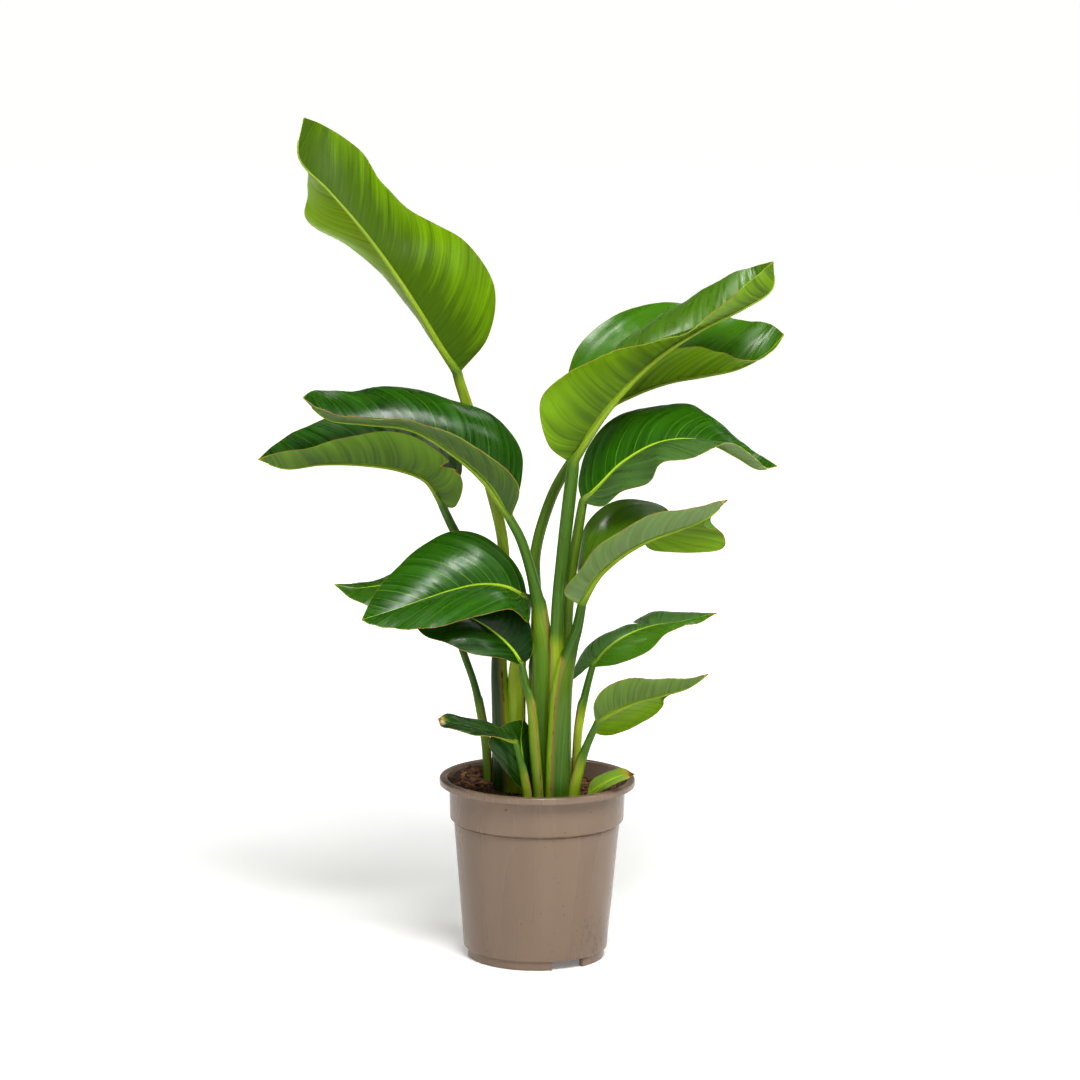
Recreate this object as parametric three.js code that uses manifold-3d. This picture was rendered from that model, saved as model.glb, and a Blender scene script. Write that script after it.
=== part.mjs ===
// A potted bird of paradise, Strelitzia nicolai, in its nursery pot: a moulded pot on three feet, the potting
// bark in it, and fifteen leaves. Each leaf is one piece from its blade down the stalk into the bark.
// Millimetres, +Z up. The origin is on the floor under the middle of the pot, and the front is -Y.
import * as THREE from "three";
import { mergeVertices } from "three/addons/utils/BufferGeometryUtils.js";
import Module from "manifold-3d";

const wasm = await Module();
wasm.setup();

// Driving dimensions of the pot.
const rimRadius = 105;
const rimTopZ = 195.5;
const lipHeight = 7.5;
const lipRound = 1.5;
const rimInnerRadius = 96.5;
const bandTopRadius = 94.6;
const bandBottomRadius = 93.3;
const bandBottomZ = 151.5;
const bodyTopRadius = 89.2;
const bodyTopZ = 148.5;
const bodyBottomRadius = 77.1;
const bodyBottomZ = 10.5;
const footRingRadius = 74.5;
const footRingWidth = 5;
const footCorner = 1.5;
const wall = 1.6;
const wallStep = 1;
const floorThickness = 2;
const potSegments = 36;

// The inside of the band under the lip runs between these heights.
const innerBandTopZ = rimTopZ - lipHeight - 2 * wallStep;
const innerBandBottomZ = bandBottomZ + wallStep;

// The foot ring is cut by three gaps, which leave three long feet.
const footGaps = 3;
const footGapMiddle = 28.5;
const footGapAngle = 29;
const footGapHeight = 8;
const footGapCorner = 4;
const footGapCornerSteps = 4;

// Drain holes through the floor: one ring of round holes.
const drainHoles = 6;
const drainHoleRadius = 5;
const drainRingRadius = 45;
const drainHoleSides = 16;

// The bark in the pot.
const soilTopZ = 178;
const soilRings = 5;
const soilSegments = 32;
const fitGap = 0.35;

// Three crossing waves of low bumps on the bark: their height, their run along x and y, and where they start.
const soilWaves = [
  { height: 1.25, alongX: 0.21, alongY: 0.17, start: 0.6 },
  { height: 0.9, alongX: 0.09, alongY: -0.23, start: 0 },
  { height: 0.6, alongX: 0.37, alongY: 0.31, start: 1.6 },
];

// The leaves.
const bladeThickness = 1;
const tipEnd = 0.992;
const stalkFootZ = 142;
const stalkSides = 8;
const keelEnd = 0.93;
const keelTipRadius = 0.7;
const keelOffset = 0.55;
const keelRunIn = 0.125;

// Number of steps along the rib, from rib to margin, and along the stalk, for a large and a small blade.
const largeBlade = { along: 16, across: 3, stalk: 11, keel: 5 };
const smallBlade = { along: 10, across: 2, stalk: 7, keel: 4 };
const smallBladeLength = 160;

// Points closer than this are one point.
const weldDistance = 1e-3;

// Each leaf is given by curves that run from the foot of its blade to its tip: the rib, and the margins of
// the half nearer the front and of the half farther from it. hand is -1 where the blade points to the left
// and 1 where it points to the right. arch is how far the near and the far half bulge to the upper face, as a
// share of their width. The stalk's points run up from the bark, each with the stalk's radius as its fourth
// number.

// First offset on the left, held low over the rim.
const leafLowLeft = {
  name: "leaf_low_left",
  hand: -1,
  arch: [0.1, 0.1],
  colour: 0x4a6a1c,
  rib: [
    [-23, -84, 252], [-34, -88, 257], [-53, -92, 264], [-73, -96, 271], [-90, -98, 275],
    [-105, -100, 279],
  ],
  near: [
    [-23, -85, 251], [-33, -96, 256], [-51, -106, 263], [-71, -110, 266], [-90, -108, 269],
    [-101, -104, 272], [-105, -100, 279],
  ],
  far: [
    [-23, -82, 252], [-24, -72, 257], [-40, -66, 262], [-60, -66, 270], [-80, -74, 277],
    [-97, -88, 281], [-105, -100, 279],
  ],
  stalk: [[-10, -70, 186, 5], [-13, -73, 208, 4.4], [-17, -78, 227, 3.6], [-23, -84, 252, 3]],
};

// Shaded blade under the broad one.
const leafDarkLeft = {
  name: "leaf_dark_left",
  hand: -1,
  arch: [0.12, 0.1],
  colour: 0x1d3f14,
  rib: [
    [-18, -46, 328], [-28, -44, 343], [-45, -42, 359], [-69, -40, 374], [-100, -36, 383],
    [-135, -30, 386],
  ],
  near: [
    [-19, -50, 327], [-41, -66, 338], [-70, -74, 344], [-96, -74, 355], [-117, -64, 359],
    [-132, -48, 370], [-135, -30, 386],
  ],
  far: [
    [-17, -43, 327], [-8, -38, 336], [-7, -33, 356], [-17, -28, 382], [-47, -15, 393], [-90, -14, 393],
    [-135, -30, 386],
  ],
  stalk: [
    [2, -60, 184, 5.8], [-3, -60, 240, 5.8], [-7, -57, 284, 4.8], [-13, -52, 307, 4],
    [-18, -46, 328, 3.4],
  ],
};

// Blade that folds up at its base and droops at its end.
const leafFoldedRight = {
  name: "leaf_folded_right",
  hand: 1,
  arch: [0.05, 0.14],
  colour: 0x5f7d3a,
  rib: [
    [45, -52, 395], [59, -58, 424], [85, -64, 449], [114, -70, 467], [146, -76, 480], [175, -80, 493],
    [196, -82, 513],
  ],
  near: [
    [43, -54, 393], [26, -66, 410], [44, -82, 439], [61, -94, 464], [92, -102, 487], [125, -106, 503],
    [156, -102, 506], [179, -92, 511], [196, -82, 513],
  ],
  far: [
    [47, -48, 394], [40, -26, 424], [43, -8, 466], [69, 2, 491], [106, 4, 500], [140, -8, 492],
    [129, -30, 456], [160, -48, 452], [194, -62, 460], [189, -74, 481], [196, -82, 513],
  ],
  stalk: [
    [21, -62, 184, 13], [22, -62, 241, 12.8], [25, -62, 304, 11], [33, -58, 346, 7.5],
    [40, -55, 369, 5.6], [45, -52, 395, 4.6],
  ],
};

// Lowest full blade on the right, seen from below.
const leafLowRight = {
  name: "leaf_low_right",
  hand: 1,
  arch: [0.05, 0.1],
  colour: 0x66802f,
  rib: [
    [63, -64, 271], [82, -70, 284], [107, -76, 296], [133, -82, 304], [158, -86, 313], [179, -88, 328],
  ],
  near: [
    [61, -66, 269], [59, -80, 293], [71, -94, 314], [98, -102, 325], [127, -102, 325], [157, -96, 325],
    [179, -88, 328],
  ],
  far: [
    [64, -60, 269], [59, -40, 257], [66, -24, 247], [92, -20, 254], [114, -26, 267], [126, -46, 286],
    [141, -70, 300], [162, -84, 314], [179, -88, 328],
  ],
  stalk: [[37, -54, 183, 7], [44, -56, 217, 5.8], [51, -60, 241, 4.2], [63, -64, 270, 3.2]],
};

// Smallest blade, lying over the rim.
const leafRimRight = {
  name: "leaf_rim_right",
  hand: 1,
  arch: [0.1, 0.1],
  colour: 0x7a9420,
  rib: [[54, -54, 187], [67, -60, 200], [79, -68, 209], [92, -76, 216], [103, -82, 218]],
  near: [[54, -55, 186], [67, -62, 194], [80, -72, 203], [94, -80, 212], [103, -82, 218]],
  far: [[54, -52, 188], [58, -46, 201], [71, -50, 212], [89, -62, 219], [103, -82, 218]],
  stalk: [[50, -46, 174, 3.4], [52, -49, 181, 3], [54, -54, 187, 2.6]],
};

// Young blade that still stands upright.
const leafYoungUpright = {
  name: "leaf_young_upright",
  hand: -1,
  arch: [0.12, 0.1],
  colour: 0x28501a,
  rib: [[-12, -46, 189], [-14, -46, 208], [-16, -46, 227], [-18, -44, 247], [-16, -40, 267]],
  near: [
    [-13, -48, 189], [-31, -58, 211], [-47, -62, 234], [-52, -62, 249], [-35, -54, 264],
    [-16, -40, 267],
  ],
  far: [
    [-11, -44, 189], [-7, -34, 210], [-7, -30, 231], [-8, -30, 248], [-11, -34, 260], [-16, -40, 267],
  ],
  stalk: [[-11, -44, 173, 4], [-12, -45, 181, 3.4], [-12, -46, 189, 2.8]],
};

// Highest blade on the right, folded up along its rib.
const leafHighRight = {
  name: "leaf_high_right",
  hand: 1,
  arch: [0.04, 0.1],
  colour: 0x6b8f2a,
  rib: [
    [34, -48, 547], [54, -56, 584], [84, -62, 624], [121, -66, 661], [164, -66, 690], [210, -62, 713],
    [238, -58, 732], [240, -54, 761],
  ],
  near: [
    [32, -50, 544], [7, -64, 567], [-1, -76, 615], [27, -88, 645], [72, -98, 669], [122, -104, 683],
    [149, -104, 691], [185, -96, 719], [221, -80, 748], [240, -54, 761],
  ],
  far: [
    [36, -44, 547], [41, -14, 585], [51, 0, 626], [80, 6, 662], [116, 6, 689], [157, -2, 716],
    [196, -18, 742], [224, -36, 754], [240, -54, 761],
  ],
  stalk: [
    [20, -40, 179, 9], [19, -40, 250, 9], [19, -41, 321, 8], [19, -42, 386, 6.8], [24, -43, 445, 6.8],
    [30, -45, 505, 6.7], [34, -48, 543, 6],
  ],
};

// Dark blade arching to the left.
const leafArchingLeft = {
  name: "leaf_arching_left",
  hand: -1,
  arch: [0.08, 0.2],
  colour: 0x2b5420,
  rib: [
    [-33, -45, 486], [-57, -52, 524], [-93, -58, 556], [-136, -64, 581], [-183, -70, 587],
    [-223, -78, 593], [-249, -90, 617],
  ],
  near: [
    [-31, -48, 484], [-23, -72, 523], [-56, -84, 558], [-97, -92, 582], [-139, -96, 595],
    [-180, -98, 597], [-211, -98, 600], [-234, -96, 608], [-249, -90, 617],
  ],
  far: [
    [-30, -42, 485], [-20, -30, 525], [-23, -18, 557], [-52, -12, 589], [-106, -12, 608],
    [-155, -14, 619], [-202, -28, 615], [-237, -60, 620], [-249, -90, 617],
  ],
  stalk: [
    [6, -30, 177, 10], [6, -30, 253, 10.5], [5, -31, 330, 11.5], [1, -34, 379, 8.5],
    [-7, -38, 419, 5.8], [-19, -42, 459, 5.2], [-33, -45, 486, 4.6],
  ],
};

// Open blade with a twisted end.
const leafMiddleRight = {
  name: "leaf_middle_right",
  hand: 1,
  arch: [0.12, 0.12],
  colour: 0x33601f,
  rib: [
    [45, -34, 502], [63, -40, 521], [87, -46, 546], [119, -52, 566], [151, -58, 573], [180, -64, 569],
    [205, -70, 557], [227, -74, 545], [248, -76, 548],
  ],
  near: [
    [46, -38, 500], [66, -60, 501], [85, -78, 519], [112, -92, 531], [124, -102, 553], [150, -108, 559],
    [178, -106, 570], [193, -100, 576], [215, -94, 566], [233, -86, 549], [248, -76, 548],
  ],
  far: [
    [43, -30, 502], [40, -16, 521], [50, 0, 555], [76, 10, 584], [113, 12, 595], [153, 6, 601],
    [185, -8, 585], [218, -38, 562], [248, -76, 548],
  ],
  stalk: [
    [28, -14, 173, 9], [27, -14, 245, 9], [28, -18, 316, 7], [30, -24, 372, 5.4], [34, -30, 427, 5.2],
    [41, -33, 476, 5], [45, -34, 502, 4.4],
  ],
};

// Narrow blade torn through its far half.
const leafTornRight = {
  name: "leaf_torn_right",
  hand: 1,
  arch: [0.1, 0.1],
  tear: { at: 0.62, half: 0.05, depth: 0.6 },
  colour: 0x3f6624,
  rib: [
    [58, -20, 323], [74, -20, 342], [97, -20, 357], [122, -20, 366], [146, -22, 370], [169, -24, 376],
    [189, -28, 382],
  ],
  near: [
    [59, -24, 321], [82, -44, 328], [105, -54, 339], [122, -56, 351], [137, -50, 365], [154, -42, 370],
    [171, -34, 373], [189, -28, 382],
  ],
  far: [
    [57, -16, 324], [35, 0, 302], [50, 16, 334], [78, 24, 349], [104, 28, 363], [125, 26, 372],
    [159, 8, 375], [189, -28, 382],
  ],
  stalk: [
    [41, -34, 178, 5], [42, -34, 238, 4.6], [45, -32, 268, 4.6], [51, -26, 297, 3.8],
    [58, -20, 323, 3.2],
  ],
};

// Broad open blade facing the front.
const leafBroadLeft = {
  name: "leaf_broad_left",
  hand: -1,
  arch: [0.13, 0.11],
  colour: 0x336427,
  rib: [
    [-13, -22, 395], [-36, -26, 407], [-64, -32, 410], [-93, -40, 405], [-122, -50, 397],
    [-155, -62, 387], [-187, -76, 379],
  ],
  near: [
    [-13, -26, 393], [-11, -50, 374], [-29, -70, 391], [-62, -88, 387], [-93, -100, 381],
    [-120, -104, 376], [-150, -100, 375], [-173, -88, 376], [-187, -76, 379],
  ],
  far: [
    [-13, -19, 396], [-19, -9, 417], [-34, -6, 438], [-61, -4, 458], [-91, 0, 462], [-121, -6, 450],
    [-148, -20, 429], [-173, -46, 404], [-187, -76, 379],
  ],
  stalk: [
    [-21, -4, 170, 9], [-22, -4, 247, 9.5], [-23, -4, 302, 9.5], [-20, -8, 341, 7],
    [-15, -15, 372, 5.2], [-13, -22, 395, 4.6],
  ],
};

// Blade behind the highest one.
const leafRearRight = {
  name: "leaf_rear_right",
  hand: 1,
  arch: [0.05, 0.12],
  colour: 0x3d6b26,
  rib: [
    [46, 34, 552], [67, 32, 590], [100, 30, 609], [136, 28, 622], [172, 24, 629], [208, 18, 638],
    [237, 10, 655], [256, 2, 677],
  ],
  near: [
    [45, 32, 552], [35, 14, 581], [51, 0, 615], [85, -6, 642], [120, -8, 658], [158, -6, 664],
    [190, -2, 657], [220, 2, 648], [243, 4, 658], [256, 2, 677],
  ],
  far: [
    [48, 36, 552], [26, 60, 592], [37, 84, 647], [80, 92, 685], [129, 92, 698], [171, 86, 695],
    [208, 68, 684], [240, 38, 684], [256, 2, 677],
  ],
  stalk: [
    [3, 2, 169, 8], [2, 2, 235, 8], [1, 2, 312, 7.5], [-3, 3, 383, 6], [-5, 7, 439, 5.9],
    [11, 18, 496, 5.7], [32, 29, 534, 5.4], [46, 34, 552, 4.6],
  ],
};

// Tallest blade, its underside to the front.
const leafTallest = {
  name: "leaf_tallest",
  hand: -1,
  arch: [-0.08, -0.08],
  colour: 0x7da11e,
  rib: [
    [-90, -5, 634], [-109, -12, 665], [-129, -18, 699], [-150, -21, 732], [-173, -22, 764],
    [-199, -20, 796], [-226, -16, 826], [-257, -8, 859], [-253, -2, 901],
  ],
  near: [
    [-86, -4, 634], [-57, 0, 672], [-52, 8, 725], [-84, 14, 771], [-138, 20, 800], [-170, 18, 830],
    [-195, 14, 866], [-230, 4, 891], [-253, -2, 901],
  ],
  far: [
    [-91, -3, 631], [-109, 30, 650], [-136, 44, 689], [-167, 48, 728], [-207, 46, 762], [-250, 40, 786],
    [-250, 38, 821], [-250, 24, 864], [-253, -2, 901],
  ],
  stalk: [
    [-35, 0, 169, 11], [-39, 0, 268, 10.5], [-42, 3, 322, 8.5], [-39, 7, 381, 6.5], [-39, 10, 446, 5.8],
    [-54, 10, 511, 5.7], [-74, 5, 581, 5.6], [-89, -4, 629, 5],
  ],
};

// Long blade that points to the left.
const leafLongLeft = {
  name: "leaf_long_left",
  hand: -1,
  arch: [0.05, 0.1],
  colour: 0x4f7a26,
  rib: [
    [-106, 30, 488], [-121, 24, 513], [-151, 16, 526], [-190, 8, 532], [-232, 0, 533], [-270, -8, 529],
    [-300, -14, 539],
  ],
  near: [
    [-105, 28, 484], [-90, 14, 487], [-83, 2, 515], [-100, -2, 540], [-134, -8, 565], [-174, -14, 570],
    [-213, -20, 563], [-249, -24, 553], [-278, -22, 548], [-300, -14, 539],
  ],
  far: [
    [-106, 32, 490], [-85, 52, 520], [-102, 62, 562], [-141, 62, 585], [-188, 56, 589], [-232, 46, 574],
    [-262, 30, 563], [-284, 10, 551], [-300, -14, 539],
  ],
  stalk: [
    [-42, 22, 164, 7], [-42, 22, 230, 7], [-41, 22, 307, 6.5], [-48, 25, 367, 5.6], [-67, 28, 415, 5.2],
    [-91, 31, 456, 4.8], [-106, 30, 487, 4.2],
  ],
};

// Blade behind the broad one, with only its end in view.
const leafRearLeft = {
  name: "leaf_rear_left",
  hand: -1,
  arch: [0.1, 0.1],
  colour: 0x456d28,
  rib: [
    [-98, 44, 379], [-118, 40, 391], [-144, 34, 397], [-171, 28, 397], [-196, 22, 395], [-220, 16, 400],
  ],
  near: [
    [-98, 42, 377], [-106, 20, 366], [-138, 6, 366], [-166, 0, 374], [-187, 2, 381], [-205, 8, 389],
    [-220, 16, 400],
  ],
  far: [
    [-98, 46, 381], [-108, 72, 396], [-135, 80, 403], [-157, 76, 401], [-177, 62, 395], [-198, 40, 397],
    [-220, 16, 400],
  ],
  stalk: [
    [-53, 24, 164, 4.8], [-55, 24, 219, 5], [-61, 26, 257, 4.8], [-69, 30, 291, 3.8],
    [-84, 36, 332, 3.6], [-98, 44, 379, 3],
  ],
};

// From the front of the pot to its back: a stalk further back gives way to the ones before it.
const leaves = [
  leafLowLeft,
  leafDarkLeft,
  leafFoldedRight,
  leafLowRight,
  leafRimRight,
  leafYoungUpright,
  leafHighRight,
  leafArchingLeft,
  leafMiddleRight,
  leafTornRight,
  leafBroadLeft,
  leafRearRight,
  leafTallest,
  leafLongLeft,
  leafRearLeft,
];

const potColour = 0x94806e;
const soilColour = 0x33221a;

// A smooth curve through a list of points, read by a share t of the way from its first to its last point.
function curveThrough(points) {
  const vectors = points.map((p) => new THREE.Vector3(p[0], p[1], p[2]));
  return new THREE.CatmullRomCurve3(vectors, false, "catmullrom", 0.5);
}

function geometryOf(positions, index) {
  const geometry = new THREE.BufferGeometry();
  geometry.setAttribute("position", new THREE.Float32BufferAttribute(positions, 3));
  geometry.setIndex(index);
  return geometry;
}

function solidOf(geometry) {
  const bare = geometry.clone();
  bare.deleteAttribute("normal");
  bare.deleteAttribute("uv");
  const merged = mergeVertices(bare, weldDistance);
  const mesh = new wasm.Mesh({
    numProp: 3,
    vertProperties: new Float32Array(merged.attributes.position.array),
    triVerts: new Uint32Array(merged.index.array),
  });
  return new wasm.Manifold(mesh);
}

function meshOf(name, solid, material) {
  const { numProp, vertProperties, triVerts } = largestBody(solid).getMesh();
  const positions = [];
  for (let i = 0; i < vertProperties.length; i += numProp) {
    positions.push(vertProperties[i], vertProperties[i + 1], vertProperties[i + 2]);
  }
  const mesh = new THREE.Mesh(geometryOf(positions, [...triVerts]), material);
  mesh.name = name;
  return mesh;
}

function largestBody(solid) {
  return solid.decompose().reduce((most, body) => (body.volume() > most.volume() ? body : most));
}

// The two halves of a blade as one grid of points. A row runs from the near margin over the rib to the far
// margin, and each half bulges between them.
function bladeRows(leaf, steps) {
  const rib = curveThrough(leaf.rib);
  const margins = { near: curveThrough(leaf.near), far: curveThrough(leaf.far) };
  const rows = [];
  for (let i = 0; i <= steps.along; i++) {
    const t = (tipEnd * i) / steps.along;
    const middle = rib.getPoint(t);
    const forward = rib.getTangent(t);
    const half = (margin, side, arch, cut) => {
      const reach = margin.getPoint(t).sub(middle).multiplyScalar(1 - cut);
      const upper = reach.clone().cross(forward).normalize();
      const bulge = side * leaf.hand * arch * Math.sin(Math.PI * t) * reach.length();
      const points = [];
      for (let j = 1; j <= steps.across; j++) {
        const v = j / steps.across;
        const lift = bulge * 4 * v * (1 - v);
        points.push(middle.clone().addScaledVector(reach, v).addScaledVector(upper, lift));
      }
      return points;
    };
    const near = half(margins.near, 1, leaf.arch[0], 0);
    const far = half(margins.far, -1, leaf.arch[1], tearAt(leaf, t));
    rows.push([...near.reverse(), middle, ...far]);
  }
  return rows;
}

// How much of the far half's width a tear takes away at t.
function tearAt(leaf, t) {
  if (!leaf.tear) return 0;
  return leaf.tear.depth * Math.max(0, 1 - Math.abs(t - leaf.tear.at) / leaf.tear.half);
}

// Gives a grid of points a thickness: its upper and its lower face are split into triangles alike.
function slab(rows, thickness) {
  const high = rows.length;
  const wide = rows[0].length;
  const flat = rows.flat();
  const faces = [];
  for (let i = 0; i < high - 1; i++) {
    for (let j = 0; j < wide - 1; j++) {
      const a = i * wide + j;
      faces.push([a, a + wide, a + 1], [a + 1, a + wide, a + wide + 1]);
    }
  }
  const sheetPositions = flat.flatMap((p) => [p.x, p.y, p.z]);
  const sheet = geometryOf(sheetPositions, faces.flat());
  sheet.computeVertexNormals();
  const normals = sheet.getAttribute("normal");
  const positions = [];
  for (const side of [thickness / 2, -thickness / 2]) {
    flat.forEach((p, k) => {
      const outward = new THREE.Vector3().fromBufferAttribute(normals, k);
      positions.push(...p.clone().addScaledVector(outward, side));
    });
  }
  const count = flat.length;
  const index = [];
  for (const [a, b, c] of faces) {
    index.push(a, b, c, count + a, count + c, count + b);
  }
  const border = [];
  for (let j = 0; j < wide - 1; j++) border.push(j);
  for (let i = 0; i < high - 1; i++) border.push(i * wide + wide - 1);
  for (let j = wide - 1; j > 0; j--) border.push((high - 1) * wide + j);
  for (let i = high - 1; i > 0; i--) border.push(i * wide);
  border.forEach((a, k) => {
    const b = border[(k + 1) % border.length];
    index.push(a, b, count + a, b, count + b, count + a);
  });
  return solidOf(geometryOf(positions, index));
}

// A round rod through centres with a radius at each, closed at both ends.
function rod(centres, radii) {
  const last = centres.length - 1;
  const depth = new THREE.Vector3(0, 1, 0);
  const positions = [];
  centres.forEach((centre, i) => {
    const forward = centres[Math.min(i + 1, last)].clone().sub(centres[Math.max(i - 1, 0)]).normalize();
    const back = depth.clone().addScaledVector(forward, -depth.dot(forward)).normalize();
    const aside = new THREE.Vector3().crossVectors(back, forward);
    for (let k = 0; k < stalkSides; k++) {
      const turn = (2 * Math.PI * k) / stalkSides;
      const spoke = back.clone().multiplyScalar(Math.cos(turn)).addScaledVector(aside, Math.sin(turn));
      positions.push(...centre.clone().addScaledVector(spoke, radii[i]));
    }
  });
  const index = [];
  for (let i = 0; i < last; i++) {
    for (let k = 0; k < stalkSides; k++) {
      const a = i * stalkSides + k;
      const b = i * stalkSides + ((k + 1) % stalkSides);
      index.push(a, a + stalkSides, b, b, a + stalkSides, b + stalkSides);
    }
  }
  for (let k = 1; k < stalkSides - 1; k++) {
    const top = last * stalkSides;
    index.push(0, k, k + 1, top, top + k + 1, top + k);
  }
  return solidOf(geometryOf(positions, index));
}

// The stalk with the sheath at its foot, and the keel that carries it on under the rib. extra widens it.
function stalkOf(leaf, steps, extra) {
  const [footX, footY, , footRadius] = leaf.stalk[0];
  const points = [[footX, footY, stalkFootZ, footRadius], ...leaf.stalk];
  const route = curveThrough(points);
  const radius = curveThrough(points.map((p) => [p[3], 0, 0]));
  const centres = [];
  const radii = [];
  for (let i = 0; i < steps.stalk; i++) {
    const t = i / steps.stalk;
    centres.push(route.getPoint(t));
    radii.push(radius.getPoint(t).x + extra);
  }
  const rib = curveThrough(leaf.rib);
  const topRadius = leaf.stalk[leaf.stalk.length - 1][3];
  for (let i = 0; i <= steps.keel; i++) {
    const t = (keelEnd * i) / steps.keel;
    const r = THREE.MathUtils.lerp(topRadius, keelTipRadius, Math.sqrt(t));
    const sunk = r * keelOffset * Math.min(1, t / keelRunIn);
    centres.push(rib.getPoint(t).addScaledVector(underside(leaf, rib, t), sunk));
    radii.push(r + extra);
  }
  return rod(centres, radii);
}

// The direction out of the lower face of a blade at its rib.
function underside(leaf, rib, t) {
  const middle = rib.getPoint(t);
  const forward = rib.getTangent(t);
  const near = curveThrough(leaf.near).getPoint(t).sub(middle).cross(forward).normalize();
  const far = curveThrough(leaf.far).getPoint(t).sub(middle).cross(forward).normalize();
  return near.multiplyScalar(-leaf.hand).addScaledVector(far, leaf.hand).normalize();
}

function leafSteps(leaf) {
  return curveThrough(leaf.rib).getLength() < smallBladeLength ? smallBlade : largeBlade;
}

function leafSolid(leaf) {
  const steps = leafSteps(leaf);
  return slab(bladeRows(leaf, steps), bladeThickness).add(stalkOf(leaf, steps, 0));
}

// A profile of [radius, height] points turned round the pot's axis.
function turned(profile, segments) {
  const points = profile.map(([r, z]) => new THREE.Vector2(r, z));
  return solidOf(new THREE.LatheGeometry(points, segments).rotateX(Math.PI / 2));
}

function potSolid() {
  const innerBottom = bodyBottomZ + floorThickness;
  const footInner = footRingRadius - footRingWidth;
  const lipBottomZ = rimTopZ - lipHeight;
  const shell = turned(
    [
      [0, bodyBottomZ],
      [footInner - footCorner, bodyBottomZ],
      [footInner, 0],
      [footRingRadius - footCorner, 0],
      [footRingRadius, footCorner],
      [footRingRadius, bodyBottomZ - wallStep],
      [bodyBottomRadius, bodyBottomZ],
      [bodyTopRadius, bodyTopZ],
      [bandBottomRadius, bandBottomZ],
      [bandTopRadius, lipBottomZ],
      [rimRadius - lipRound, lipBottomZ],
      [rimRadius, lipBottomZ + lipRound],
      [rimRadius, rimTopZ - lipRound],
      [rimRadius - lipRound, rimTopZ],
      [rimInnerRadius + lipRound, rimTopZ],
      [rimInnerRadius, rimTopZ - lipRound],
      [bandTopRadius - wall, innerBandTopZ],
      [bandBottomRadius - wall, innerBandBottomZ],
      [bodyTopRadius - wall, bodyTopZ],
      [bodyBottomRadius - wall, innerBottom],
      [0, innerBottom],
    ],
    potSegments,
  );
  let pot = shell;
  for (let i = 0; i < footGaps; i++) {
    pot = pot.subtract(footGap(footGapMiddle + (360 / footGaps) * i));
  }
  for (let i = 0; i < drainHoles; i++) {
    pot = pot.subtract(drainHole((2 * Math.PI * i) / drainHoles));
  }
  return pot;
}

// The cut for one drain hole, which runs out of the floor on both sides.
function drainHole(turn) {
  const length = 3 * floorThickness;
  const cut = new THREE.CylinderGeometry(drainHoleRadius, drainHoleRadius, length, drainHoleSides)
    .rotateX(Math.PI / 2)
    .translate(drainRingRadius, 0, bodyBottomZ + floorThickness / 2)
    .rotateZ(turn);
  return solidOf(cut);
}

// The cut for one gap in the foot ring, with rounded upper corners. The angle runs from front to right.
function footGap(middleAngle) {
  const halfWidth = footRingRadius * Math.sin(THREE.MathUtils.degToRad(footGapAngle / 2));
  const cornerX = halfWidth - footGapCorner;
  const cornerZ = footGapHeight - footGapCorner;
  const outline = new THREE.Shape();
  outline.moveTo(-halfWidth, -footGapHeight);
  outline.lineTo(halfWidth, -footGapHeight);
  outline.lineTo(halfWidth, cornerZ);
  outline.absarc(cornerX, cornerZ, footGapCorner, 0, Math.PI / 2);
  outline.lineTo(-cornerX, footGapHeight);
  outline.absarc(-cornerX, cornerZ, footGapCorner, Math.PI / 2, Math.PI);
  const depth = 3 * footRingWidth;
  const cut = new THREE.ExtrudeGeometry(outline, {
    depth,
    bevelEnabled: false,
    curveSegments: footGapCornerSteps,
  });
  cut.rotateX(Math.PI / 2);
  cut.translate(0, 2 * footRingWidth - footRingRadius, 0);
  cut.rotateZ(THREE.MathUtils.degToRad(middleAngle));
  return solidOf(cut);
}

// How far the bark rises at a point over its own level.
function soilBump(x, y) {
  const rise = (wave) => wave.height * Math.sin(x * wave.alongX + y * wave.alongY + wave.start);
  return soilWaves.reduce((sum, wave) => sum + rise(wave), 0);
}

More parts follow.
